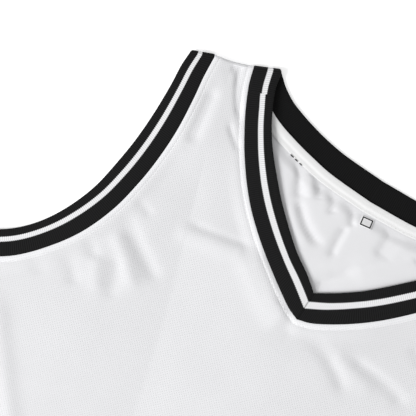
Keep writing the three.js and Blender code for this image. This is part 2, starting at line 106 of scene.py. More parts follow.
NECK_STRIPE = (0.323, 0.512)  # shares of the rib's width between which its stripe lies
ARM_STRIPE = (0.3, 0.473)
TAPE_START = 0.84
TAPE_MIDDLE_END = 1.275
TAPE_ENDS = ((-112, -90, -60, -30, 0, 60, 112), (1.3, 1.32, 1.32, 1.28, 1.26, 1.25, 1.275))
TAPE_FIRST_SECTION = 1.0
TAPE_GAP = 0.3  # between the tape and what it lies on
TAPE_STEP = (1.02, 1.16)  # where it comes down from the rib to the panel
TAPE_INSET = 0.04  # from its lower edge to its stitches, as a share of the rib's width
RIPPLE = 0.12  # height of its lower edge's ripples
RIPPLE_TURN = 0.31  # radians for each millimetre along it
TAB_WIDTH = 9.6
TAB_HEIGHT = 7.8
TAB_X = 5.7
TAB_DROP = 1.1  # gap below the tape
TAB_TURN = 0.14  # how far the tab is turned in its plane, radians
TAB_MARGIN = 0.6  # from the tab's edge to its border line
TAB_LINE = 0.85
TAB_LIFT = 0.9
TAB_CURL = 0.3
TAB_POINTS = 33  # along each side of its mesh
# Black tacking stitches on the tape's lower edge, between two places across the neck
TACKS_START = -67.2
TACKS_END = -58.5
TACK_PITCH = 3.5
TACK_LENGTH = 3.4
TACK_RADIUS = 0.5

# A section across a rib, from its opening edge to its seam. X is out from the centre line.
Section = namedtuple("Section", "open_x open_y seam_x seam_y")
NECK_FRONT = (
    Section(0, 0, 0, -22.1),
    Section(13, 9.6, 14, -16.1),
    Section(31.3, 23.2, 45.3, 5.6),
    Section(52.1, 41.5, 67.8, 24.3),
    Section(66.4, 56.2, 83.1, 40.6),
    Section(80.5, 72.2, 97.2, 59.2),
    Section(90.3, 85.8, 107.3, 75.1),
    Section(97.6, 98.7, 115.4, 89.8),
    Section(103.6, 112, 122.2, 104.7),
    Section(106.7, 125.4, 125.8, 116.5),
)
NECK_BACK = (
    Section(106.7, 125.4, 125.8, 116.5),
    Section(102.3, 121.6, 116.8, 107),
    Section(97.9, 117.9, 109.7, 101.6),
    Section(88.4, 112.2, 97.9, 94.5),
    Section(78.1, 108.3, 86, 89.3),
    Section(65, 104.5, 70, 84.8),
    Section(50.7, 101.3, 54.1, 81.3),
    Section(32.1, 98.8, 34.1, 77.9),
    Section(0, 97.5, 0, 76.1),
)
ARMHOLE = (
    Section(172, 101.2, 154.8, 108.2),
    Section(172.3, 89.9, 153.7, 91.9),
    Section(171, 73, 151.3, 73.5),
    Section(170.5, 50, 149.3, 49),
    Section(171.4, 27, 149.7, 24.4),
    Section(174, 5, 152.2, 1.4),
    Section(178.5, -19.6, 157.7, -25.3),
    Section(187.2, -42.7, 168.2, -51.8),
    Section(198.6, -62.1, 183.1, -74.4),
    Section(213.3, -78, 201.7, -94.5),
    Section(232.5, -90.6, 224.3, -109),
    Section(250.8, -97.8, 245.9, -117.5),
    Section(267.6, -101.5, 267.6, -121.7),
)
# Half of the body's width down its sides
Side = namedtuple("Side", "y half")
SIDES = (
    Side(-95, 270),
    Side(-130, 269.5),
    Side(-250, 266),
    Side(-400, 266),
    Side(-530, 269),
    Side(-620, 272),
)
# A ridge, or a trough where height is below 0, along a bent line
Fold = namedtuple("Fold", "x0 y0 bend_x bend_y x1 y1 reach height")
FRONT_FOLDS = (
    Fold(-149.2, -25.8, -126.2, -40.8, -101.2, -54.8, 4.6, -1.9),
    Fold(-149, -39, -130, -53, -112, -69, 5.0, 1.2),
    Fold(-138, -53, -129, -68, -125, -85, 5.0, -1.0),
    Fold(-150, -62, -143, -74, -136, -85, 5.0, 1.0),
    Fold(-172, -72, -159, -78, -152, -90, 4.5, -1.1),
    Fold(-112, -15, -86, -9, -52, -1, 7.5, 1.3),
    Fold(-200, -122, -168, -166, -120, -220, 6.5, 1.4),
    Fold(4, -23, 39, -31, 60, -51, 4.5, -1.6),
    Fold(36, -27, 56, -30, 78, -42, 6.0, 0.6),
    Fold(47, -24, 77, -25, 104, -35, 4.5, -1.3),
    Fold(150, -26, 118, -34, 88, -58, 9, 1.4),
    Fold(166, -60, 140, -84, 122, -124, 8, -1.6),
    Fold(206, -116, 172, -150, 150, -216, 12, -1.8),
    Fold(222, -124, 196, -168, 180, -250, 14, 2.2),
    Fold(-236, -150, -226, -250, -232, -360, 16, 2.0),
    Fold(-96, -250, -84, -340, -104, -450, 22, 2.4),
    Fold(-150, -300, -140, -400, -166, -520, 18, -1.6),
    Fold(30, -170, 16, -270, 34, -390, 24, 1.8),
    Fold(104, -290, 92, -400, 112, -530, 20, 2.3),
    Fold(62, -330, 52, -440, 64, -560, 16, -1.6),
    Fold(-30, -440, -44, -530, -36, -620, 18, 2.2),
    Fold(170, -430, 176, -520, 164, -620, 17, 2.4),
    Fold(236, -330, 224, -430, 238, -540, 15, -1.5),
    Fold(-196, -440, -206, -530, -190, -620, 16, 2.1),
)
# Smaller creases, which the solids leave out
FRONT_CREASES = (
    Fold(-136.9, 119.7, -131.8, 98.8, -114, 79, 2.6, -2.0),
    Fold(-142, 118, -139, 112, -136, 106, 2.4, -1.0),
    Fold(-130, 101, -125, 94, -120, 86, 2.0, 0.8),
    Fold(-142.7, 90, -139, 68, -136, 44, 5.0, -2.0),
    Fold(-119.7, 73.2, -112, 66, -103, 60, 2.6, -1.0),
    Fold(-106, -5, -84, -2, -54, 6, 3.4, -0.8),
    Fold(-163, -54, -156, -59, -150, -64, 3.5, -1.2),
    Fold(-147, -10, -139, -13, -131, -16, 3.5, -0.7),
    Fold(-190, -86, -184, -90, -178, -96, 5.0, -0.8),
    Fold(-24, -15, 1, -17, 0, -39, 4.0, -0.8),
    Fold(-60, 1, -29, -24.5, -4, -32, 10.0, 2.4),
    Fold(84, 8, 90, 2, 98, -2, 5.0, -0.8),
    Fold(142, 114, 134, 100, 128, 86, 3.0, -1.2),
    Fold(146, 76, 140, 60, 138, 40, 4.0, -1.0),
    Fold(160, -48, 150, -56, 140, -70, 4.0, -0.9),
)
BACK_CREASES = (
    Fold(-46, 54, -32, 36, -13, 32, 3.0, -1.9),
    Fold(-50, 49, -36, 33, -22, 29, 3.0, 0.9),
    Fold(-60, 78, -53, 65, -46, 53, 3.2, -2.0),
    Fold(-48, 74, -43, 66, -39, 58, 3.0, 1.1),
    Fold(-38, 70, -36, 65, -33, 60, 2.5, -1.0),
    Fold(-26, 71, -23, 64, -19, 56, 2.6, -1.5),
    Fold(-11, 73, -6, 64, -1, 56, 2.6, -1.5),
    Fold(-5, 56, -6, 42, -3, 29, 3.2, -1.6),
    Fold(26, 74, 25, 60, 26, 47, 3.6, -1.3),
    Fold(33, 72, 31, 60, 31, 48, 4.0, -0.8),
    Fold(-3, 5, 7, 16, 16, 30, 3.0, -1.2),
    Fold(2, -3, -44, 21, -92, 75, 6.0, 0.8),
    Fold(-6, 3, 7, 16, 22, 33, 8.0, -0.8),
    Fold(-4, 15, 23, 37, 51, 66, 3.2, -0.7),
    Fold(60, 76, 56, 66, 52, 58, 3.4, -1.0),
)
# A panel's mesh: its neck, its rows and columns, and how the rows close up below the neck
Half = namedtuple("Half", "neck centre_y arm_split side lower upper middle closing")
FRONT = Half(NECK_FRONT, -215, 6, 110, 56, 76, 70, 1.0)
BACK = Half(NECK_BACK, -60, 3.5, 66, 90, 50, 58, 1.8)
PANEL_BAND = np.array((0, 0.25, 0.6, 1.2, 2.4, 4.1, 6, 8))
SHOULDER_TURNS = np.sin(np.linspace(0, math.pi / 2, 7)[1:])
ROUND_BAND = np.array((0, 0.02, 0.1, 0.3, 0.6, 0.9))
# Where the laid-out neck is drawn askew: a place, how far its pull reaches, and how far it moves
Pull = namedtuple("Pull", "x y reach move_x move_y")
PULLS = (
    Pull(38, -8, 58, 0.9, -2.4),
    Pull(-8, 4, 24, 0.3, 1.2),
)
# How far a stripe lies towards the opening, by row below the neck's join, above it, and on the arm
STRIPE_FRONT = (
    (0, 0.5, 1, 2.5, 4, 5.5, 7, 7.7),
    (0.075, 0.05, 0.028, -0.01, -0.025, 0.008, 0.01, -0.015),
)
STRIPE_JOIN = 0.035
STRIPE_TOP = 0.015
STRIPE_ARM = ((0, 2, 5, 7, 9, 12), (-0.03, 0.0, -0.018, 0.02, 0.012, 0.0))
BAND_SHARE = 0.25  # most of a row that the close columns at a panel's edge take up
RIB_STEP = 2.2
CORNER_STEP = 1.6
SEWING_STEP = 2.0
RIB_COLUMNS = 9
TAPE_COLUMNS = 15
FOLD_STEPS = 12
# How a fold runs out at its ends: over what it reaches its height, where it starts, and how softly
FOLD_FULL = 2.4
FOLD_START = 0.05
FOLD_EASE = 1.5
FOLD_LINE = np.linspace(0, 1, 9)[:, None]
LINE_POINTS = 60

# Flat cuts in metres: width, length and area of what shows of each piece
Cut = namedtuple("Cut", "width length area")

# Stage, in metres
Light = namedtuple("Light", "name power size place")
LIGHTS = (
    Light("key", 125.0, 1.45, (-1.83, -1.93, 1.96)),
    Light("fill", 5.0, 2.5, (0.9, 1.2, 2.2)),
)
LIGHT_TARGET = np.array((-0.1, 0.25, 0.0))
WORLD_STRENGTH = 0.5
FLOOR_GLOW = 0.4  # keeps the shadows on the floor pale
FLOOR_REACH = 4.0
FLOOR_DROP = 0.0005
CAMERA_X = -99.2  # in millimetres from the V corner
CAMERA_Y = 11.7
CAMERA_TURN = math.radians(32.3)
SENSOR = 36.0
# Cloth whose colour has no setting; the first is painted shade between the ridges of the rib's white stripe
STRIPE_GROOVE_SHADE = "#d2d2d4"
TAB_BORDER = "#0e0e10"
TAB_WHITE = "#e9e9ea"
# Pitches of the knit's loops, the twill's lines and the tab's threads, in millimetres
LOOPS_ACROSS = 0.8
LOOPS_UP = 0.6
TWILL_PITCH = 0.9
TAB_THREADS = 0.35
RIB_LOOPS = 26  # loops across a rib
TWISTS = 900.0  # scale of the thread's twist, per metre
STRIPE_EDGE = 0.008  # half of a stripe's soft edge, as a share of the rib's width


def linear(code):
    """Linear colour of an sRGB hex code."""
    channels = [int(code[i : i + 2], 16) / 255 for i in (1, 3, 5)]
    return [c / 12.92 if c <= 0.04045 else ((c + 0.055) / 1.055) ** 2.4 for c in channels]


def size(name, description, default):
    return bpy.props.FloatProperty(name=name, description=description + ", mm", default=default)


def colour(name, description, code):
    return bpy.props.FloatVectorProperty(
        name=name, description=description, subtype="COLOR", default=linear(code)
    )


class JerseySizes(bpy.types.PropertyGroup):
    """Sizes of the knit, the sewing and the stage, in millimetres"""

    eyelet_across: size("Eyelets across", "Spacing of the eyelets in a row", 2.4)
    eyelet_up: size("Eyelet rows", "Spacing of the rows of eyelets", 1.2)
    eyelet_radius: size("Eyelet radius", "Radius of an eyelet", 0.38)
    ridge_pitch: size("Rib ridges", "Spacing of the ridges along a rib", 1.5)
    stitch_pitch: size("Stitch pitch", "Spacing of the stitches", 3.2)
    stitch_length: size("Stitch length", "Length of a stitch", 2.3)
    thread_radius: size("Thread radius", "Radius of the sewing thread", 0.17)
    topstitch: size("Topstitch", "Distance of the topstitch from a rib", 4.1)
    camera_height: size("Camera height", "Height of the camera over the surface", 1900.0)
    camera_field: size("Camera field", "Width that the camera sees", 308.1)


class JerseyColours(bpy.types.PropertyGroup):
    """Colours of the cloth and the stage"""

    knit: colour("Knit", "White mesh knit", "#dddddf")
    eyelet: colour("Eyelet", "Shade inside an eyelet", "#d0d1d3")
    # The rib's colour between its ridges is painted shade, darker than its colour on the ridge tops
    rib: colour("Rib", "Black rib, on its ridges", "#1a1a1b")
    groove: colour("Rib groove", "Black rib, between its ridges", "#0e0e0e")
    stripe: colour("Stripe", "White stripe of the rib", "#ededee")
    tape: colour("Tape", "White neck tape", "#e8e8e8")
    thread: colour("Thread", "White sewing thread", "#f4f4f4")
    floor: colour("Floor", "Pale floor", "#fdfdfd")


def smooth(start, end, value):
    """0 before start, 1 after end, and a soft step between them."""
    t = np.clip((value - start) / (end - start), 0, 1)
    return t * t * (3 - 2 * t)


def mix(a, b, share):
    return a + (b - a) * share


def soft_floor(value, rounding=0.5):
    """max(value, 0) with its corner rounded off."""
    return (value + np.sqrt(value * value + rounding * rounding)) / 2


def along(table, rows):
    """Values of a table at fractional rows, by a Catmull-Rom curve."""
    values = np.array(table, float)
    padded = np.vstack([2 * values[0] - values[1], values, 2 * values[-1] - values[-2]])
    rows = np.asarray(rows, float)
    base = np.clip(np.floor(rows).astype(int), 0, len(values) - 2)
    t = (rows - base)[..., None]
    a, b, c, d = (padded[base + k] for k in range(4))
    return b + 0.5 * t * (c - a + t * (2 * a - 5 * b + 4 * c - d + t * (3 * b - a - 3 * c + d)))


def even_rows(table, start, end, count):
    """Fractional rows between two rows of a table, evenly spaced along the seam."""
    rows = np.linspace(start, end, 400)
    seam = along(table, rows)[:, 2:]
    lengths = np.concatenate([[0], np.cumsum(np.hypot(*np.diff(seam, axis=0).T))])
    return np.interp(np.linspace(0, lengths[-1], count + 1), lengths, rows)


def seam_length(table, start, end):
    seam = along(table, np.linspace(start, end, 200))[:, 2:]
    return np.hypot(*np.diff(seam, axis=0).T).sum()


def stepped_rows(table, start, end, step):
    return even_rows(table, start, end, max(2, round(seam_length(table, start, end) / step)))


def seam_line(table):
    return along(table, even_rows(table, 0, len(table) - 1, LINE_POINTS))[:, 2:]


def to_line(line, points):
    """Distance from each point to a line of points, and its place along it from 0 to 1."""
    best = np.full(len(points), np.inf)
    place = np.zeros(len(points))
    steps = np.diff(line, axis=0)
    for i, (start, step) in enumerate(zip(line, steps)):
        t = np.clip(((points - start) @ step) / (step @ step), 0, 1)
        away = np.hypot(*(points - start - t[:, None] * step).T)
        closer = away < best
        best[closer] = away[closer]
        place[closer] = (i + t[closer]) / len(steps)
    return best, place


ARM_SEAM = seam_line(ARMHOLE)
NECK_SEAM = seam_line(NECK_FRONT)
BACK_SEAM = seam_line(NECK_BACK)
NECK_FRONT_OPENING = along(NECK_FRONT, np.linspace(0, len(NECK_FRONT) - 1, LINE_POINTS))[:, :2]


def side_half(y):
    """Half of the body's width at a height."""
    rows = np.interp(-np.asarray(y, float), [-s.y for s in SIDES], range(len(SIDES)))
    return along(SIDES, rows)[..., 1]


def hem_y(x):
    return HEM_Y + HEM_LIFT * (x / side_half(HEM_Y)) ** 2


def inside_side(x, y):
    """How far inside the middle of the cloth at the side fold a point is."""
    return side_half(y) - PANEL_WALL / 2 - abs(x)


def inside_shoulder(x, y):
    """The same for the shoulder fold, which runs between the two ribs' seams."""
    neck, arm = NECK_FRONT[-1], ARMHOLE[0]
    t = (abs(x) - neck.seam_x) / (arm.seam_x - neck.seam_x)
    sag = SHOULDER_SAG * np.sin(math.pi * np.clip(t, 0, 1))
    fold = mix(neck.seam_y, arm.seam_y, t) - sag + SHOULDER_FOLD / SHOULDER_OUT[1]
    return (fold - y) * SHOULDER_OUT[1]


def fold_drop(inside, radius):
    """How far a rounded fold has turned, inside from its outermost line."""
    left = np.clip(radius - inside, 0, radius)
    return radius - np.sqrt(radius * radius - left * left)


def fold_height(folds, x, y):
    """Sum of the ridges and troughs of a table of folds."""
    points = np.column_stack([x, y])
    total = np.zeros(len(points))
    t = FOLD_LINE
    for f in folds:
        start, bend, end = np.array(((f.x0, f.y0), (f.bend_x, f.bend_y), (f.x1, f.y1)))
        line = (1 - t) ** 2 * start + 2 * t * (1 - t) * bend + t * t * end
        away, place = to_line(line, points)
        ends = np.sin(math.pi * mix(FOLD_START, 1 - FOLD_START, place))
        taper = np.minimum(1, FOLD_FULL * ends**FOLD_EASE)
        total += f.height * taper * np.exp(-((away / f.reach) ** 2))
    return total


def front_base(y, arm, neck):
    """Mid height of the front layer without its folds. The weights are 1 on a rib."""
    strap = mix(BODY_LAYER, STRAP_LAYER, smooth(STRAP_STARTS_Y, STRAP_FULL_Y, y))
    arm_lift = np.maximum(0, ARM_LAYER - strap) * arm
    neck_lift = np.maximum(0, NECK_LAYER - strap) * neck
    return strap + np.maximum(arm_lift, neck_lift)


def front_height(x, y):
    points = np.column_stack([abs(x), y])
    arm = to_line(ARM_SEAM, points)[0]
    neck = to_line(NECK_SEAM, points)[0]
    side = inside_side(x, y)
    near_arm = 1 - smooth(0, LIFT_REACH, arm)
    near_neck = 1 - smooth(0, LIFT_REACH, neck)
    side_layer = mix(BODY_LAYER, SIDE_LAYER, 1 - smooth(0, LIFT_REACH, side))
    base = np.maximum(front_base(y, near_arm, near_neck), side_layer)
    seam = np.minimum.reduce([arm, neck, side, inside_shoulder(x, y)])
    pillow = PILLOW * smooth(0, PILLOW_REACH, np.minimum(seam, y - HEM_Y + HEM_PILLOW))
    folds = fold_height(FRONT_FOLDS, x, y) * smooth(0, FOLD_REACH, seam)
    loft = soft_floor(pillow + folds) - soft_floor(0)
    near_seam = smooth(0, CREASE_REACH, seam)
    creases = fold_height(FRONT_CREASES, x, y) * near_seam
    room = mix(BODY_ROOM, STRAP_ROOM, smooth(STRAP_STARTS_Y, STRAP_FULL_Y, y))
    clear = soft_floor(loft * near_seam + creases + room) - soft_floor(room)
    drop = np.maximum(fold_drop(side, SIDE_FOLD), fold_drop(inside_shoulder(x, y), SHOULDER_FOLD))
    return base + clear - drop


def back_height(x, y):
    shoulder = inside_shoulder(x, y)
    rise = np.maximum(fold_drop(inside_side(x, y), SIDE_FOLD), fold_drop(shoulder, SHOULDER_FOLD))
    points = np.column_stack([abs(x), y])
    away = to_line(BACK_SEAM, points)[0]
    edge = NECK_FRONT_OPENING[np.argsort(NECK_FRONT_OPENING[:, 0])]
    open_side = np.where(y > np.interp(abs(x), edge[:, 0], edge[:, 1]), 1, -1)
    inside = smooth(*LOFT_EDGE, to_line(NECK_FRONT_OPENING, points)[0] * open_side)
    loft = BACK_LOFT * smooth(*LOFT_CLEAR, away) * inside
    creases = fold_height(BACK_CREASES, x, y) * smooth(*CREASE_CLEAR, away)
    lift = soft_floor(loft + creases, LOFT_ROUNDING) - soft_floor(0, LOFT_ROUNDING)
    return PANEL_REST + lift + rise


def shell(name, points, quads, thickness, facings=None, data=None):
    """Object of a closed wall round a surface, whose quads face away from the garment's inside.

    thickness is one value or one for each point. facings maps a point to the way it faces.
    data maps an attribute's name to a value or vector for each point.
    """
    keys, first, same = np.unique(
        np.round(points, 3), axis=0, return_index=True, return_inverse=True
    )
    same = same.reshape(-1)
    points = points[first]
    quads = same[quads]
    count = len(points)
    thick = np.broadcast_to(thickness, same.shape)[first][:, None] / 2
    normals = np.zeros_like(points)
    a, b, c, d = (points[quads[:, k]] for k in range(4))
    facing = np.cross(c - a, d - b)
    facing /= np.linalg.norm(facing, axis=1)[:, None] + 1e-12
    for k in range(4):
        np.add.at(normals, quads[:, k], facing)
    for place, way in (facings or {}).items():
        normals[same[place]] = way
    normals /= np.linalg.norm(normals, axis=1)[:, None] + 1e-12
    both = np.vstack([points + normals * thick, points - normals * thick])
    edges = np.vstack([quads[:, [k, (k + 1) % 4]] for k in range(4)])
    known = set(map(tuple, edges))
    rim = np.array([e for e in map(tuple, edges) if (e[1], e[0]) not in known])
    walls = np.column_stack([rim[:, 1], rim[:, 0], rim[:, 0] + count, rim[:, 1] + count])
    faces = np.vstack([quads, quads[:, ::-1] + count, walls])
    both[:, 1] += V_CORNER_Y
    mesh = bpy.data.meshes.new(name)
    mesh.from_pydata((both / METRE).tolist(), [], faces.tolist())
    for key, values in (data or {}).items():
        values = np.vstack([values[first], values[first]]) if values.ndim > 1 else np.tile(values[first], 2)
        kind, field = ("FLOAT_VECTOR", "vector") if values.ndim > 1 else ("FLOAT", "value")
        mesh.attributes.new(key, kind, "POINT").data.foreach_set(field, values.astype(np.float32).ravel())
    outside = np.repeat([1.0, 0.0], count).astype(np.float32)
    mesh.attributes.new("outside", "FLOAT", "POINT").data.foreach_set("value", outside)
    mesh.validate()
    mesh.shade_smooth()
    mesh.set_sharp_from_angle(angle=math.radians(50))
    piece = bpy.data.objects.new(name, mesh)
    bpy.context.collection.objects.link(piece)
    return piece


def grid_quads(rows, columns, flip, start=0):
    """Quads of a grid of points that are numbered row by row."""
    first = start + np.arange(rows - 1)[:, None] * columns + np.arange(columns - 1)
    first = first.reshape(-1)
    quads = np.column_stack([first, first + 1, first + columns + 1, first + columns])
    return quads[:, ::-1] if flip else quads


def panel_seam(table, rows):
    """Seam points moved into the panel by the seam gap."""
    s = along(table, rows)
    across = s[:, 2:] - s[:, :2]
    return s[:, 2:] + across / np.linalg.norm(across, axis=1)[:, None] * SEAM_GAP


def panel_rows(half):
    """Rows of one half of a panel: outer points, inner points, sag, and turn round the shoulder."""
    last = len(ARMHOLE) - 1
    lower = even_rows(ARMHOLE, last, half.arm_split, half.lower)
    arms = np.concatenate([lower, even_rows(ARMHOLE, half.arm_split, 0, half.upper)[1:]])
    end = len(half.neck) - 1
    start, stop = (0, end) if half is FRONT else (end, 0)
    necks = panel_seam(half.neck, even_rows(half.neck, start, stop, half.upper))
    t = np.arange(half.side) / half.side
    side_y = mix(hem_y(side_half(HEM_Y)), UNDERARM_Y, t)
    arm_points = panel_seam(ARMHOLE, arms)
    arm_points[0, 0] = side_half(arm_points[0, 1]) - PANEL_WALL / 2
    outer = np.vstack([np.column_stack([side_half(side_y) - PANEL_WALL / 2, side_y]), arm_points])
    closing = 1 - (1 - np.arange(half.lower) / half.lower) ** half.closing
    centre = np.concatenate([mix(HEM_Y, half.centre_y, t), mix(half.centre_y, necks[0, 1], closing)])
    inner = np.vstack([np.column_stack([np.zeros(len(centre)), centre]), necks])
    share = np.clip((np.arange(len(outer)) - half.side - half.lower) / half.upper, 0, 1)
    sag = SHOULDER_SAG * share**3
    turned = SHOULDER_OUT * SHOULDER_FOLD * SHOULDER_TURNS[:, None]
    outer = np.vstack([outer, outer[-1] + turned])
    inner = np.vstack([inner, inner[-1] + turned])
    turn = np.concatenate([np.zeros(len(sag)), SHOULDER_TURNS])
    return outer, inner, np.concatenate([sag, np.full(len(turned), SHOULDER_SAG)]), turn


def panel_piece(name, half, height):
    outer, inner, sag, turn = panel_rows(half)
    facing_down = half is BACK
    length = np.linalg.norm(inner - outer, axis=1)[:, None]
    edge = np.minimum(PANEL_BAND[-1] / length, BAND_SHARE)
    band = edge * PANEL_BAND / PANEL_BAND[-1]
    middle = mix(edge, 1 - edge, np.arange(1, half.middle) / half.middle)
    share = np.hstack([band, middle, 1 - band[:, ::-1]])
    rows, columns = share.shape
    points, quads, facings = [], [], {}
    for side in (-1, 1):
        x = side * mix(outer[:, :1], inner[:, :1], share)
        y = mix(outer[:, 1:], inner[:, 1:], share) - sag[:, None] * np.sin(math.pi * share)
        z = height(x.ravel(), y.ravel()).reshape(x.shape)
        drop = SHOULDER_FOLD * (1 - np.sqrt(1 - np.minimum(turn, 1) ** 2))
        turned = PANEL_REST + drop if facing_down else STRAP_LAYER - drop
        z = np.where(turn[:, None] > 0, turned[:, None], z)
        start = 0 if side < 0 else rows * columns
        for row in range(half.side + 1):
            facings[start + row * columns] = (side, 0, 0)
        for column in range(columns):
            facings[start + (rows - 1) * columns + column] = (side * SHOULDER_OUT[0], SHOULDER_OUT[1], 0)
        points.append(np.column_stack([x.ravel(), y.ravel(), z.ravel()]))
        quads.append(grid_quads(rows, columns, (side > 0) != facing_down, start))
    points = np.vstack(points)
    place = np.column_stack([abs(points[:, 0]), points[:, 1]])
    seams = NECK_SEAM if half is FRONT else BACK_SEAM
    seam = np.minimum(to_line(ARM_SEAM, place)[0], to_line(seams, place)[0])
    data = {"seam": seam, "hem": points[:, 1] - hem_y(points[:, 0])}
    return shell(name, points, np.vstack(quads), PANEL_WALL, facings, data)


def rib_shares(width):
    """Places across a rib, closer at its two rounded edges."""
    band = ROUND_BAND / width
    return np.concatenate([band, np.linspace(band[-1], 1 - band[-1], RIB_COLUMNS)[1:-1], 1 - band[::-1]])


def rib_grid(sections, side, open_z, seam_z, crown, out, out_way):
    """Points of a rib's sections, moved out by out along a direction where it turns round a fold."""
    share = rib_shares(np.linalg.norm(sections[:, 2:] - sections[:, :2], axis=1).mean())
    moved = np.outer(out, out_way)
    x = mix(sections[:, 0, None], sections[:, 2, None], share) + moved[:, :1]
    y = mix(sections[:, 1, None], sections[:, 3, None], share) + moved[:, 1:]
    pull = CORNER_PULL * (out / SHOULDER_FOLD)[:, None] ** 2 * (1 - share) ** 4
    across = (sections[:, 2:] - sections[:, :2]).mean(axis=0)
    across /= np.linalg.norm(across)
    x = x + pull * across[0]
    y = y + pull * across[1]
    z = mix(open_z[:, None], seam_z[:, None], share)
    z = z + RIB_CROWN * crown[:, None] * np.sin(math.pi * share)
    return np.stack([side * x, y, z], axis=2)


def rib_turn(section, side, open_z, seam_z, way):
    """The sections of a rib round a fold, from the front layer down to the back one."""
    angle = np.linspace(0, math.pi, FOLD_STEPS + 1)[1:-1]
    shrink = (1 + np.cos(angle)) / 2
    radius = ((open_z + seam_z) / 2 - RIB_REST) / 2
    sections = np.repeat(section[None, :], len(angle), axis=0)
    opened = mix(RIB_REST, open_z, shrink)
    seamed = mix(RIB_REST, seam_z, shrink)
    return rib_grid(sections, side, opened, seamed, np.zeros(len(angle)), radius * np.sin(angle), way)


def flat_rib(table, rows, side):
    sections = along(table, rows)
    rest = np.full(len(rows), RIB_REST)
    none = np.zeros(len(rows))
    return rib_grid(sections, side, rest, rest, none, none, SHOULDER_OUT)


def rib_shell(name, grids, flips, shifts, corner=False):
    """A rib from grids of points, each row running from the opening edge to the seam.

    shifts moves the stripe of each row towards the opening edge, as a share of the width.
    """
    points, quads, bands, thick, start = [], [], [], [], 0
    for grid, flip, shift in zip(grids, flips, shifts):
        rows, columns = grid.shape[:2]
        width = np.linalg.norm(grid[:, -1] - grid[:, 0], axis=1)
        steps = np.linalg.norm(np.diff(grid[:, columns // 2], axis=0), axis=1)
        length = np.concatenate([[0], np.cumsum(steps)])
        share = rib_shares(width.mean())
        away = np.minimum(share, 1 - share) * width.mean()
        radius = ROUND_BAND[-1]
        round_off = np.sqrt(np.clip(1 - (1 - np.minimum(away / radius, 1)) ** 2, 0.003, 1))
        across = np.broadcast_to(share, (rows, columns)).copy()
        mitre = np.full_like(across, 100.0)
        if corner:
            across = corner_share(grid, across)
            mitre = abs(grid[..., 0])
        across = across + shift[:, None]
        points.append(grid.reshape(-1, 3))
        quads.append(grid_quads(rows, columns, flip, start))
        run = np.broadcast_to(length[:, None], across.shape)
        bands.append(np.stack([run, across, mitre], axis=2).reshape(-1, 3))
        thick.append(np.broadcast_to(RIB_WALL * round_off, (rows, columns)).reshape(-1))
        start += rows * columns
    data = {"band": np.vstack(bands)}
    return shell(name, np.vstack(points), np.vstack(quads), np.concatenate(thick), None, data)


def corner_share(grid, across):
    """Near the V's mitre a stripe keeps its distance from the limb's own straight edge."""
    edge = along(NECK_FRONT, np.linspace(0, MITRE_SECTIONS, 40))[:, :2]
    run = edge[6] - edge[0]
    before = edge[0] - run / np.linalg.norm(run) * MITRE_BEYOND
    points = np.column_stack([abs(grid[..., 0]).ravel(), grid[..., 1].ravel()])
    away = to_line(np.vstack([before, edge]), points)[0].reshape(across.shape)
    near = 1 - smooth(*MITRE_REACH, abs(grid[..., 0]))
    return mix(across, away / NECK_RIB_WIDTH, near)


def rib_layers(sections, arm, neck):
    return front_base(sections[:, 1], arm, neck), front_base(sections[:, 3], arm, neck)


def armhole_rib(name, side):
    last = len(ARMHOLE) - 1
    rows = stepped_rows(ARMHOLE, 0, last, RIB_STEP)
    sections = along(ARMHOLE, rows)
    open_z, seam_z = rib_layers(sections, 1, 0)
    crown = smooth(0, CROWN_EASE, rows) * smooth(0, CROWN_EASE, last - rows)
    none = np.zeros(len(rows))
    parts = [
        rib_grid(sections, side, open_z, seam_z, crown, none, SHOULDER_OUT),
        rib_turn(sections[-1], side, open_z[-1], seam_z[-1], np.array((1.0, 0.0))),
        flat_rib(ARMHOLE, rows[::-1], side),
        rib_turn(sections[0], side, open_z[0], seam_z[0], SHOULDER_OUT)[::-1],
    ]
    # The ring starts on the back, where its two ends meet out of sight
    ring = np.vstack(parts)
    shift = np.interp(rows, *STRIPE_ARM)
    at_underarm, at_shoulder = (np.full(FOLD_STEPS - 1, shift[end]) for end in (-1, 0))
    shift = np.concatenate([shift, at_underarm, shift[::-1], at_shoulder])
    start = len(rows) + FOLD_STEPS + len(rows) // 2
    ring, shift = np.roll(ring, -start, axis=0), np.roll(shift, -start)
    ring, shift = np.vstack([ring, ring[:1]]), np.append(shift, shift[0])
    return rib_shell(name, [ring], [side < 0], [shift])


def neck_section(rows, side):
    sections = along(NECK_FRONT, rows)
    open_z, seam_z = rib_layers(sections, 0, 1)
    last = len(NECK_FRONT) - 1
    open_z = open_z + NECK_OPEN_LIFT * np.sin(math.pi * rows / last)
    crown = smooth(0, CROWN_EASE, last - rows)
    sections[:, 0] = np.maximum(sections[:, 0], MITRE_HALF)
    sections[:, 2] = np.maximum(sections[:, 2], MITRE_HALF)
    grid = rib_grid(sections, side, open_z, seam_z, crown, np.zeros(len(rows)), SHOULDER_OUT)
    return grid, sections, open_z, seam_z


def neck_rib_front(name, side):
    rows = stepped_rows(NECK_FRONT, 0, JOIN_SECTION - JOIN_TRIM, CORNER_STEP)
    shift = np.interp(rows, *STRIPE_FRONT)
    return rib_shell(name, [neck_section(rows, side)[0]], [side < 0], [shift], corner=True)


def neck_rib_back(name):
    last = len(NECK_FRONT) - 1
    rows = stepped_rows(NECK_FRONT, JOIN_SECTION + JOIN_TRIM, last, RIB_STEP)
    back = stepped_rows(NECK_BACK, 0, len(NECK_BACK) - 1, RIB_STEP)
    grids = []
    for side in (-1, 1):
        front, sections, open_z, seam_z = neck_section(rows, side)
        turn = rib_turn(sections[-1], side, open_z[-1], seam_z[-1], SHOULDER_OUT)
        grids.append(np.vstack([front, turn, flat_rib(NECK_BACK, back, side)]))
    shift = np.full(len(grids[0]), STRIPE_TOP)
    shift[: len(rows)] = np.interp(rows, (JOIN_SECTION, last), (STRIPE_JOIN, STRIPE_TOP))
    return rib_shell(name, grids, [True, False], [shift, shift])


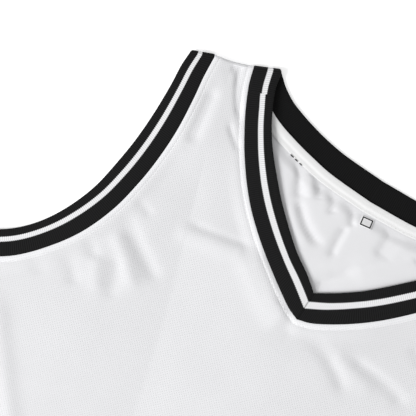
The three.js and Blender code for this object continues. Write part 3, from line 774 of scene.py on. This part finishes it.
def tape_height(share):
    """Mid height of the neck tape, over the rib and then over the panel."""
    wall = mix(RIB_WALL, PANEL_WALL, smooth(*TAPE_STEP, share))
    return wall + TAPE_WALL / 2 + TAPE_GAP


def tape_end(x):
    """Where the tape's lower edge lies across the neck, as a share of the rib's width."""
    return np.interp(x, *TAPE_ENDS)


def neck_tape(name):
    rows = stepped_rows(NECK_BACK, TAPE_FIRST_SECTION, len(NECK_BACK) - 1, RIB_STEP)
    sections = along(NECK_BACK, rows)
    part = np.linspace(0, 1, TAPE_COLUMNS)
    points, quads, bands, thick, start = [], [], [], [], 0
    run = np.concatenate([[0], np.cumsum(np.linalg.norm(np.diff(sections[:, 2:], axis=0), axis=1))])
    for side in (-1, 1):
        share = mix(TAPE_START, tape_end(side * sections[:, 2])[:, None], part)
        x = side * mix(sections[:, 0, None], sections[:, 2, None], share)
        y = mix(sections[:, 1, None], sections[:, 3, None], share)
        ripple = RIPPLE * np.sin(run * RIPPLE_TURN + side)[:, None] * smooth(1.05, 1.3, share)
        z = tape_height(share) + ripple
        points.append(np.stack([x, y, np.broadcast_to(z, x.shape)], axis=2).reshape(-1, 3))
        quads.append(grid_quads(len(rows), len(part), side > 0, start))
        across = np.broadcast_to(part, x.shape)
        length = np.broadcast_to(run[:, None], x.shape)
        bands.append(np.stack([length, across, np.zeros_like(across)], axis=2).reshape(-1, 3))
        edge = np.minimum(across, 1 - across)
        thick.append((TAPE_WALL * mix(0.45, 1, smooth(0, 0.12, edge))).reshape(-1))
        start += x.size
    data = {"band": np.vstack(bands)}
    return shell(name, np.vstack(points), np.vstack(quads), np.concatenate(thick), None, data)


def size_tab(name):
    middle = NECK_BACK[-1]
    high = mix(middle.open_y, middle.seam_y, TAPE_MIDDLE_END) - TAB_DROP - TAB_HEIGHT / 2
    share = np.linspace(0, 1, TAB_POINTS)
    x, y = np.meshgrid(TAB_WIDTH * (share - 0.5), TAB_HEIGHT * (share - 0.5))
    turn_x, turn_y = math.cos(TAB_TURN), math.sin(TAB_TURN)
    x, y = TAB_X + x * turn_x - y * turn_y, high + x * turn_y + y * turn_x
    across, up = np.meshgrid(share, share)
    z = back_height(x.ravel(), y.ravel()).reshape(x.shape) + TAB_LIFT + TAB_CURL * (1 - up) ** 2
    points = np.stack([x, y, z], axis=2).reshape(-1, 3)
    sides = np.minimum(across, 1 - across) * TAB_WIDTH
    edge = np.minimum(sides, np.minimum(up, 1 - up) * TAB_HEIGHT).ravel()
    thick = TAPE_WALL * mix(0.4, 0.8, smooth(0, 0.5, edge))
    return shell(name, points, grid_quads(TAB_POINTS, TAB_POINTS, False), thick, None, {"edge": edge})


def add_node(tree, kind, inputs=None, **settings):
    """Adds a node with its settings. inputs maps a socket to a value, a node or another socket."""
    node = tree.nodes.new(kind)
    for key, value in settings.items():
        setattr(node, key, value)
    for key, value in (inputs or {}).items():
        source = value.outputs[0] if isinstance(value, bpy.types.Node) else value
        if isinstance(source, bpy.types.NodeSocket):
            tree.links.new(source, node.inputs[key])
        else:
            node.inputs[key].default_value = source
    return node


def calc(tree, operation, *values):
    """A math node, with its values in the order of its sockets."""
    return add_node(tree, "ShaderNodeMath", dict(enumerate(values)), operation=operation)


def wave(tree, value, pitch):
    """A sine wave of a pitch along a value, from -1 to 1."""
    return calc(tree, "SINE", calc(tree, "MULTIPLY", value, 2 * math.pi / pitch))


def ramp(tree, value, start, end, low=0.0, high=1.0, kind="LINEAR"):
    """A value between start and end, mapped to one between low and high."""
    inputs = {0: value, 1: start, 2: end, 3: low, 4: high}
    return add_node(tree, "ShaderNodeMapRange", inputs, interpolation_type=kind)


def times(tree, vector, factor):
    """A vector or a colour times a factor."""
    return add_node(tree, "ShaderNodeVectorMath", {0: vector, 3: factor}, operation="SCALE")


def blend(tree, share, first, second):
    """The colour a share of the way from the first to the second."""
    inputs = {"Factor": share, 6: first, 7: second}
    return add_node(tree, "ShaderNodeMix", inputs, data_type="RGBA").outputs[2]


def attribute(tree, name, output="Fac"):
    """What a piece's own mesh holds under a name."""
    return add_node(tree, "ShaderNodeAttribute", attribute_name=name).outputs[output]


def blank_material(name):
    """A new material with an empty tree."""
    material = bpy.data.materials.new(name)
    material.use_nodes = True
    material.node_tree.nodes.clear()
    return material, material.node_tree


def opaque(colour):
    return (*colour, 1.0)


def cloth_output(tree, colour, height, strength, roughness, sheen, gloss=0.25):
    """Ends a cloth material: its colour, its bump in millimetres and its soft sheen."""
    metres = calc(tree, "MULTIPLY", height, 1 / METRE)
    bump = add_node(tree, "ShaderNodeBump", {"Height": metres, "Strength": strength, "Distance": 1.0})
    inputs = {
        "Base Color": colour,
        "Roughness": roughness,
        "Sheen Weight": sheen,
        "Sheen Roughness": 0.5,
        "Specular IOR Level": gloss,
        "Normal": bump,
    }
    surface = add_node(tree, "ShaderNodeBsdfPrincipled", inputs)
    add_node(tree, "ShaderNodeOutputMaterial", {"Surface": surface})
    return surface


def object_place(tree):
    """The place on the garment in millimetres, as X, Y and Z."""
    place = add_node(tree, "ShaderNodeTexCoord").outputs["Object"]
    scaled = times(tree, place, METRE)
    return add_node(tree, "ShaderNodeSeparateXYZ", {0: scaled}), scaled


def mesh_knit(sizes, colours):
    """White polyester mesh: small eyelets in staggered rows over fine loops, matt and a little soft."""
    material, tree = blank_material("white polyester mesh knit")
    xyz, place = object_place(tree)
    up = calc(tree, "DIVIDE", xyz.outputs[1], sizes.eyelet_up)
    row = calc(tree, "FLOOR", up)
    in_row = calc(tree, "FRACT", up)
    across = calc(tree, "DIVIDE", xyz.outputs[0], sizes.eyelet_across)
    stagger = calc(tree, "MULTIPLY_ADD", row, 0.5, across)
    in_column = calc(tree, "FRACT", stagger)
    cell = add_node(tree, "ShaderNodeCombineXYZ", {0: in_column, 1: in_row})
    centred = add_node(tree, "ShaderNodeVectorMath", {0: cell, 1: (0.5, 0.5, 0)}, operation="SUBTRACT")
    spread = (sizes.eyelet_across, sizes.eyelet_up, 0)
    offset = add_node(tree, "ShaderNodeVectorMath", {0: centred, 1: spread}, operation="MULTIPLY")
    away = add_node(tree, "ShaderNodeVectorMath", {0: offset}, operation="LENGTH").outputs["Value"]
    eyelet = ramp(tree, away, sizes.eyelet_radius * 1.25, sizes.eyelet_radius * 0.5, kind="SMOOTHSTEP")
    # The loops close over the eyelets on the inside of the cloth
    outside = attribute(tree, "outside")
    seen = ramp(tree, outside, 0.0, 1.0, 0.15, 1.0)
    eyelet = calc(tree, "MULTIPLY", eyelet, seen)
    cloudy = add_node(tree, "ShaderNodeTexNoise", {"Vector": place, "Scale": 0.03, "Detail": 3.0})
    tone = ramp(tree, cloudy.outputs[0], 0.3, 0.7, 0.97, 1.0)
    holes = blend(tree, eyelet, opaque(colours.knit), opaque(colours.eyelet))
    # The doubled cloth of the seam allowance lets less light through, so it looks whiter
    seam = attribute(tree, "seam")
    doubled = ramp(tree, seam, sizes.topstitch, sizes.topstitch + 1.0, 1.12, 1.0, kind="SMOOTHSTEP")
    tone = calc(tree, "MULTIPLY", tone, doubled)
    toned = times(tree, holes, tone)
    # Fine loops of the knit, in columns and courses
    column = wave(tree, xyz.outputs[0], LOOPS_ACROSS)
    course = wave(tree, xyz.outputs[1], LOOPS_UP)
    loops = calc(tree, "MULTIPLY", column, course)
    fine = calc(tree, "MULTIPLY", loops, 0.035)
    sunk = calc(tree, "MULTIPLY_ADD", eyelet, -0.12, fine)
    # The seam allowance puffs up inside the topstitch, and the stitch draws the cloth in
    puff = add_node(tree, "ShaderNodeFloatCurve", {1: seam})
    shape_seam(puff, sizes.topstitch)
    sewn = calc(tree, "MULTIPLY_ADD", puff, 0.5, sunk)
    hem = attribute(tree, "hem")
    turned = ramp(tree, hem, HEM_FOLD - 0.6, HEM_FOLD + 0.6, 0.5, 0.0, kind="SMOOTHSTEP")
    height = calc(tree, "ADD", sewn, turned)
    cloth_output(tree, toned, height, 0.9, 0.82, 0.2)
    return material


def shape_seam(node, topstitch):
    """Height over the seam, from 0 to 10 mm, as a soft pad that ends in the stitched groove."""
    node.mapping.clip_max_x = 10.0
    node.mapping.clip_max_y = 1.0
    node.mapping.clip_min_y = 0.0
    curve = node.mapping.curves[0]
    curve.points[0].location = (0.0, 0.25)
    curve.points[1].location = (10.0, 0.45)
    groove = ((topstitch - 0.7, 0.5), (topstitch, 0.05), (topstitch + 0.8, 0.42))
    for x, y in ((0.9, 0.72), (2.4, 0.8), *groove):
        curve.points.new(x, y)
    node.mapping.update()


def rib_knit(name, sizes, colours, low, high):
    """Black rib tape with fine ridges across it and a white stripe between shares low and high."""
    material, tree = blank_material(name)
    band = attribute(tree, "band", "Vector")
    xyz = add_node(tree, "ShaderNodeSeparateXYZ", {0: band})
    turns = calc(tree, "MULTIPLY", xyz.outputs[0], 2 * math.pi / sizes.ridge_pitch)
    swell = calc(tree, "SINE", turns)
    ridge = ramp(tree, swell, -1.0, 1.0)
    # Loops along a ridge
    loops = calc(tree, "MULTIPLY", xyz.outputs[1], 2 * math.pi * RIB_LOOPS)
    loops = calc(tree, "ADD", loops, turns)
    loops = calc(tree, "SINE", loops)
    # The stripe's edges step from ridge to ridge
    jag = calc(tree, "MULTIPLY_ADD", swell, 0.009, xyz.outputs[1])
    inner = ramp(tree, jag, low - STRIPE_EDGE, low + STRIPE_EDGE)
    outer = ramp(tree, jag, high - STRIPE_EDGE, high + STRIPE_EDGE, 1.0, 0.0)
    stripe = calc(tree, "MULTIPLY", inner, outer)
    outside = attribute(tree, "outside")
    striped = calc(tree, "MULTIPLY", stripe, outside)
    # Painted shade: the mitre's seam sinks between the two limbs of the V, and its shade is painted dark
    # along it; the rib's inner face, inside the garment, is painted at half brightness as shade
    mitre = ramp(tree, xyz.outputs[2], 0.1, 0.6, 0.25, 1.0)
    inside = ramp(tree, outside, 0.0, 1.0, 0.5, 1.0)
    shade = calc(tree, "MULTIPLY", mitre, inside)
    # Painted shade: the grooves between the ridges are painted darker than the ridge tops, on the black and
    # on the stripe
    dark = blend(tree, ridge, opaque(colours.groove), opaque(colours.rib))
    pale = blend(tree, ridge, opaque(linear(STRIPE_GROOVE_SHADE)), opaque(colours.stripe))
    colour = blend(tree, striped, dark, pale)
    shaded = times(tree, colour, shade)
    relief = ramp(tree, striped, 0.0, 1.0, 0.22, 0.07)
    height = calc(tree, "MULTIPLY", ridge, relief)
    height = calc(tree, "MULTIPLY_ADD", loops, 0.03, height)
    cloth_output(tree, shaded, height, 0.9, 0.8, 0.04, 0.12)
    return material


def twill_tape(colours):
    """White cotton twill tape with slanting fine lines, smoother than the knit."""
    material, tree = blank_material("white twill tape")
    band = attribute(tree, "band", "Vector")
    xyz = add_node(tree, "ShaderNodeSeparateXYZ", {0: band})
    slant = calc(tree, "MULTIPLY_ADD", xyz.outputs[1], 10.0, xyz.outputs[0])
    lines = wave(tree, slant, TWILL_PITCH)
    tone = ramp(tree, lines, -1.0, 1.0, 0.93, 1.0)
    colour = times(tree, colours.tape[:], tone)
    height = calc(tree, "MULTIPLY", lines, 0.06)
    cloth_output(tree, colour, height, 0.8, 0.75, 0.15)
    return material


def woven_tab(colours):
    """A blank white woven tab with a thin dark border."""
    material, tree = blank_material("white woven tab")
    edge = attribute(tree, "edge")
    line_end = TAB_MARGIN + TAB_LINE
    inside = ramp(tree, edge, line_end, line_end + 0.1)
    border = ramp(tree, edge, TAB_MARGIN - 0.1, TAB_MARGIN, 1.0, 0.0)
    white = calc(tree, "MAXIMUM", inside, border)
    xyz = object_place(tree)[0]
    threads = wave(tree, xyz.outputs[1], TAB_THREADS)
    colour = blend(tree, white, opaque(linear(TAB_BORDER)), opaque(linear(TAB_WHITE)))
    height = calc(tree, "MULTIPLY", threads, 0.02)
    cloth_output(tree, colour, height, 0.7, 0.55, 0.1)
    return material


def sewing_thread(name, colour):
    """Twisted polyester thread, a little glossy."""
    material, tree = blank_material(name)
    place = add_node(tree, "ShaderNodeTexCoord").outputs["Object"]
    inputs = {"Vector": place, "Scale": TWISTS, "Distortion": 1.0}
    twist = add_node(tree, "ShaderNodeTexWave", inputs, bands_direction="DIAGONAL")
    tone = ramp(tree, twist.outputs[1], 0.0, 1.0, 0.85, 1.0)
    shade = times(tree, tuple(colour), tone)
    height = calc(tree, "MULTIPLY", twist.outputs[1], 0.03)
    cloth_output(tree, shade, height, 0.6, 0.5, 0.1)
    return material


def pale_floor(colours):
    """A plain pale floor, matt, with a barely visible grain."""
    material, tree = blank_material("pale painted board")
    place = add_node(tree, "ShaderNodeTexCoord").outputs["Object"]
    grain = add_node(tree, "ShaderNodeTexNoise", {"Vector": place, "Scale": 400.0, "Detail": 2.0})
    tone = ramp(tree, grain.outputs[0], 0.3, 0.7, 0.985, 1.0)
    colour = times(tree, colours.floor[:], tone)
    height = calc(tree, "MULTIPLY", grain.outputs[0], 0.01)
    surface = cloth_output(tree, colour, height, 0.3, 0.9, 0.0)
    surface.inputs["Emission Color"].default_value = (1, 1, 1, 1)
    surface.inputs["Emission Strength"].default_value = FLOOR_GLOW
    return material


def stitch_tree(material, pitch, length, radius):
    """Geometry nodes that put one stitch after another along the lines of a mesh."""
    tree = bpy.data.node_groups.new("Stitch rows", "GeometryNodeTree")
    tree.interface.new_socket("Geometry", in_out="INPUT", socket_type="NodeSocketGeometry")
    for name, value in (("Pitch", pitch), ("Length", length), ("Radius", radius)):
        socket = tree.interface.new_socket(name, in_out="INPUT", socket_type="NodeSocketFloat")
        socket.default_value = value / METRE
    tree.interface.new_socket("Geometry", in_out="OUTPUT", socket_type="NodeSocketGeometry")
    given = add_node(tree, "NodeGroupInput")
    curve = add_node(tree, "GeometryNodeMeshToCurve", {0: given.outputs["Geometry"]})
    spaced = {"Curve": curve, "Length": given.outputs["Pitch"]}
    points = add_node(tree, "GeometryNodeCurveToPoints", spaced, mode="LENGTH")
    tangent = {"Vector": points.outputs["Tangent"]}
    turned = add_node(tree, "FunctionNodeAlignRotationToVector", tangent, axis="Z")
    half = calc(tree, "MULTIPLY", given.outputs["Length"], 0.5)
    thread = given.outputs["Radius"]
    size = add_node(tree, "ShaderNodeCombineXYZ", {0: thread, 1: thread, 2: half})
    uneven = add_node(tree, "FunctionNodeRandomValue", {2: 0.88, 3: 1.1, "Seed": 7}, data_type="FLOAT")
    scaled = times(tree, size, uneven.outputs[1])
    stitch = add_node(tree, "GeometryNodeMeshUVSphere", {"Segments": 6, "Rings": 4, "Radius": 1.0})
    inputs = {"Points": points, "Instance": stitch, "Rotation": turned, "Scale": scaled}
    placed = add_node(tree, "GeometryNodeInstanceOnPoints", inputs)
    real = add_node(tree, "GeometryNodeRealizeInstances", {0: placed})
    finished = add_node(tree, "GeometryNodeSetMaterial", {0: real, "Material": material})
    add_node(tree, "NodeGroupOutput", {0: finished})
    return tree


def stitched(name, lines, tree):
    """Object with the stitches that a tree puts along lines of points."""
    points, edges = [], []
    for line in lines:
        start = len(points)
        shifted = np.array(line, float)
        shifted[:, 1] += V_CORNER_Y
        points.extend((shifted / METRE).tolist())
        edges.extend((start + i, start + i + 1) for i in range(len(line) - 1))
    guide_mesh = bpy.data.meshes.new(name)
    guide_mesh.from_pydata(points, edges, [])
    guide = bpy.data.objects.new(name + " guide", guide_mesh)
    bpy.context.collection.objects.link(guide)
    modifier = guide.modifiers.new("Stitches", "NODES")
    modifier.node_group = tree
    graph = bpy.context.evaluated_depsgraph_get()
    mesh = bpy.data.meshes.new_from_object(guide.evaluated_get(graph))
    guide.modifiers.remove(modifier)
    bpy.data.objects.remove(guide)
    mesh.shade_smooth()
    mesh.name = name
    piece = bpy.data.objects.new(name, mesh)
    bpy.context.collection.objects.link(piece)
    return piece


def beside_seam(table, distance, side):
    """Points of a line on the front panel, a distance from a rib's seam."""
    s = along(table, stepped_rows(table, 0, len(table) - 1, SEWING_STEP))
    across = s[:, 2:] - s[:, :2]
    line = s[:, 2:] + across / np.linalg.norm(across, axis=1)[:, None] * distance
    x = side * line[:, 0]
    return np.column_stack([x, line[:, 1], front_height(x, line[:, 1]) + PANEL_WALL / 2])


def tape_line(inset, side):
    """Points of a line on the neck tape, a share of the rib's width in from its lower edge."""
    rows = stepped_rows(NECK_BACK, TAPE_FIRST_SECTION, len(NECK_BACK) - 1, SEWING_STEP)
    s = along(NECK_BACK, rows)
    share = tape_end(side * s[:, 2]) - inset
    z = tape_height(share) + TAPE_WALL / 2
    return np.column_stack([side * mix(s[:, 0], s[:, 2], share), mix(s[:, 1], s[:, 3], share), z])


def hem_line(lift):
    x = np.linspace(-HEM_SEWN_HALF, HEM_SEWN_HALF, 200)
    y = hem_y(x) + lift
    return np.column_stack([x, y, front_height(x, y) + PANEL_WALL / 2])


def askew(points):
    """Points of the plan in millimetres, moved by the pulls."""
    moved = points.copy()
    for pull in PULLS:
        away = np.hypot(points[:, 0] - pull.x, points[:, 1] - pull.y) / pull.reach
        moved[:, :2] += np.outer(np.maximum(0, 1 - away**2) ** 2, (pull.move_x, pull.move_y))
    return moved


def draw_askew(mesh):
    points = np.empty(3 * len(mesh.vertices))
    mesh.vertices.foreach_get("co", points)
    points = points.reshape(-1, 3) * METRE - (0, V_CORNER_Y, 0)
    points = (askew(points) + (0, V_CORNER_Y, 0)) / METRE
    mesh.vertices.foreach_set("co", points.ravel())
    mesh.update()


def settle(piece, material, node=None):
    """Gives a piece its material and its place in the frame."""
    draw_askew(piece.data)
    if not piece.data.materials:
        piece.data.materials.append(material)
    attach(piece, "root")
    if node:
        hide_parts(node)


class JERSEY_OT_panels(bpy.types.Operator):
    """Builds the front and the back of the body"""

    bl_idname = "jersey.panels"
    bl_label = "Build Panels"

    def execute(self, context):
        scene = context.scene
        knit = mesh_knit(scene.jersey_sizes, scene.jersey_colours)
        settle(panel_piece("front", FRONT, front_height), knit, "front_panel")
        settle(panel_piece("back", BACK, back_height), knit, "back_panel")
        return {"FINISHED"}


class JERSEY_OT_ribs(bpy.types.Operator):
    """Builds the striped ribs round the neck and the arms"""

    bl_idname = "jersey.ribs"
    bl_label = "Build Ribs"

    def execute(self, context):
        sizes, colours = context.scene.jersey_sizes, context.scene.jersey_colours
        neck = rib_knit("striped neck rib", sizes, colours, *NECK_STRIPE)
        arm = rib_knit("striped armhole rib", sizes, colours, *ARM_STRIPE)
        for word, side in (("left", -1), ("right", 1)):
            rib = neck_rib_front("neck_rib_" + word, side)
            settle(rib, neck, "neck_rib_front_" + word)
            rib = armhole_rib("armhole_edge_" + word, side)
            settle(rib, arm, "armhole_rib_" + word)
        settle(neck_rib_back("neck_rib_over_back"), neck, "neck_rib_back")
        return {"FINISHED"}


class JERSEY_OT_tape(bpy.types.Operator):
    """Builds the tape over the back neck seam and the size tab"""

    bl_idname = "jersey.tape"
    bl_label = "Build Neck Tape"

    def execute(self, context):
        colours = context.scene.jersey_colours
        settle(neck_tape("neck_tape_strip"), twill_tape(colours), "back_neck_tape")
        settle(size_tab("blank_tab"), woven_tab(colours), "size_tab")
        return {"FINISHED"}


class JERSEY_OT_stitches(bpy.types.Operator):
    """Sews the topstitches, the hem and the tape"""

    bl_idname = "jersey.stitches"
    bl_label = "Sew Stitches"

    def execute(self, context):
        sizes, colours = context.scene.jersey_sizes, context.scene.jersey_colours
        white = sewing_thread("white sewing thread", colours.thread)
        black = sewing_thread("black sewing thread", colours.rib)
        tree = stitch_tree(white, sizes.stitch_pitch, sizes.stitch_length, sizes.thread_radius)
        seams = [beside_seam(t, sizes.topstitch, s) for t in (NECK_FRONT, ARMHOLE) for s in (-1, 1)]
        settle(stitched("topstitches", seams, tree), white)
        hems = [hem_line(HEM_FOLD - drop) for drop in HEM_ROWS]
        settle(stitched("hem_stitches", hems, tree), white)
        tapes = [tape_line(TAPE_INSET, s) for s in (-1, 1)]
        settle(stitched("tape_stitches", tapes, tree), white)
        line = tape_line(0, -1)
        x = np.linspace(TACKS_START, TACKS_END, 12)
        tacks = [np.column_stack([x] + [np.interp(x, line[:, 0], line[:, k]) for k in (1, 2)])]
        dark = stitch_tree(black, TACK_PITCH, TACK_LENGTH, TACK_RADIUS)
        settle(stitched("tacking_stitches", tacks, dark), black)
        return {"FINISHED"}


class JERSEY_OT_stage(bpy.types.Operator):
    """Lays the floor and sets the lights and the camera"""

    bl_idname = "jersey.stage"
    bl_label = "Set Stage"

    def execute(self, context):
        scene = context.scene
        mesh = bpy.data.meshes.new("floor")
        corners = [(x * FLOOR_REACH, y * FLOOR_REACH, 0) for x, y in ((-1, -1), (1, -1), (1, 1), (-1, 1))]
        mesh.from_pydata(corners, [], [(0, 1, 2, 3)])
        floor = bpy.data.objects.new("floor", mesh)
        floor.location.z = -FLOOR_DROP
        scene.collection.objects.link(floor)
        mesh.materials.append(pale_floor(scene.jersey_colours))
        for light in LIGHTS:
            self.lamp(scene, light)
        world = bpy.data.worlds.new("studio")
        world.use_nodes = True
        background = world.node_tree.nodes["Background"]
        background.inputs["Color"].default_value = (1, 1, 1, 1)
        background.inputs["Strength"].default_value = WORLD_STRENGTH
        scene.world = world
        self.camera(scene)
        scene.view_settings.view_transform = "Standard"
        return {"FINISHED"}

    def lamp(self, scene, light):
        """A square soft light that looks at the neck."""
        data = bpy.data.lights.new(light.name, "AREA")
        data.energy = light.power
        data.size = light.size
        lamp = bpy.data.objects.new(light.name, data)
        lamp.location = light.place
        target = LIGHT_TARGET - np.array(light.place)
        yaw = math.atan2(target[1], target[0])
        pitch = math.acos(-target[2] / np.linalg.norm(target))
        lamp.rotation_euler = (pitch, 0, yaw - math.pi / 2)
        scene.collection.objects.link(lamp)

    def camera(self, scene):
        """Looks straight down, turned so that the neck points up and to the right."""
        sizes = scene.jersey_sizes
        data = bpy.data.cameras.new("camera")
        data.sensor_width = SENSOR
        data.lens = data.sensor_width * sizes.camera_height / sizes.camera_field
        camera = bpy.data.objects.new("camera", data)
        place = np.array((CAMERA_X, CAMERA_Y + V_CORNER_Y, sizes.camera_height))
        camera.location = place / METRE
        camera.rotation_euler = (0, 0, CAMERA_TURN)
        scene.collection.objects.link(camera)
        scene.camera = camera


class JERSEY_PT_panel(bpy.types.Panel):
    """Buttons and settings of the jersey"""

    bl_idname = "JERSEY_PT_panel"
    bl_label = "Jersey"
    bl_space_type = "VIEW_3D"
    bl_region_type = "UI"
    bl_category = "Jersey"

    def draw(self, context):
        for group in (context.scene.jersey_sizes, context.scene.jersey_colours):
            for name in group.__annotations__:
                self.layout.prop(group, name)
        for operator in OPERATORS:
            self.layout.operator(operator.bl_idname)


OPERATORS = (JERSEY_OT_panels, JERSEY_OT_ribs, JERSEY_OT_tape, JERSEY_OT_stitches, JERSEY_OT_stage)
CLASSES = (JerseySizes, JerseyColours, *OPERATORS, JERSEY_PT_panel)


def register():
    for entry in CLASSES:
        bpy.utils.register_class(entry)
    bpy.types.Scene.jersey_sizes = bpy.props.PointerProperty(type=JerseySizes)
    bpy.types.Scene.jersey_colours = bpy.props.PointerProperty(type=JerseyColours)


def unregister():
    del bpy.types.Scene.jersey_colours
    del bpy.types.Scene.jersey_sizes
    for entry in reversed(CLASSES):
        bpy.utils.unregister_class(entry)


def main():
    register()
    bpy.ops.jersey.panels()
    bpy.ops.jersey.ribs()
    bpy.ops.jersey.tape()
    bpy.ops.jersey.stitches()
    bpy.ops.jersey.stage()


if __name__ == "__main__":
    main()
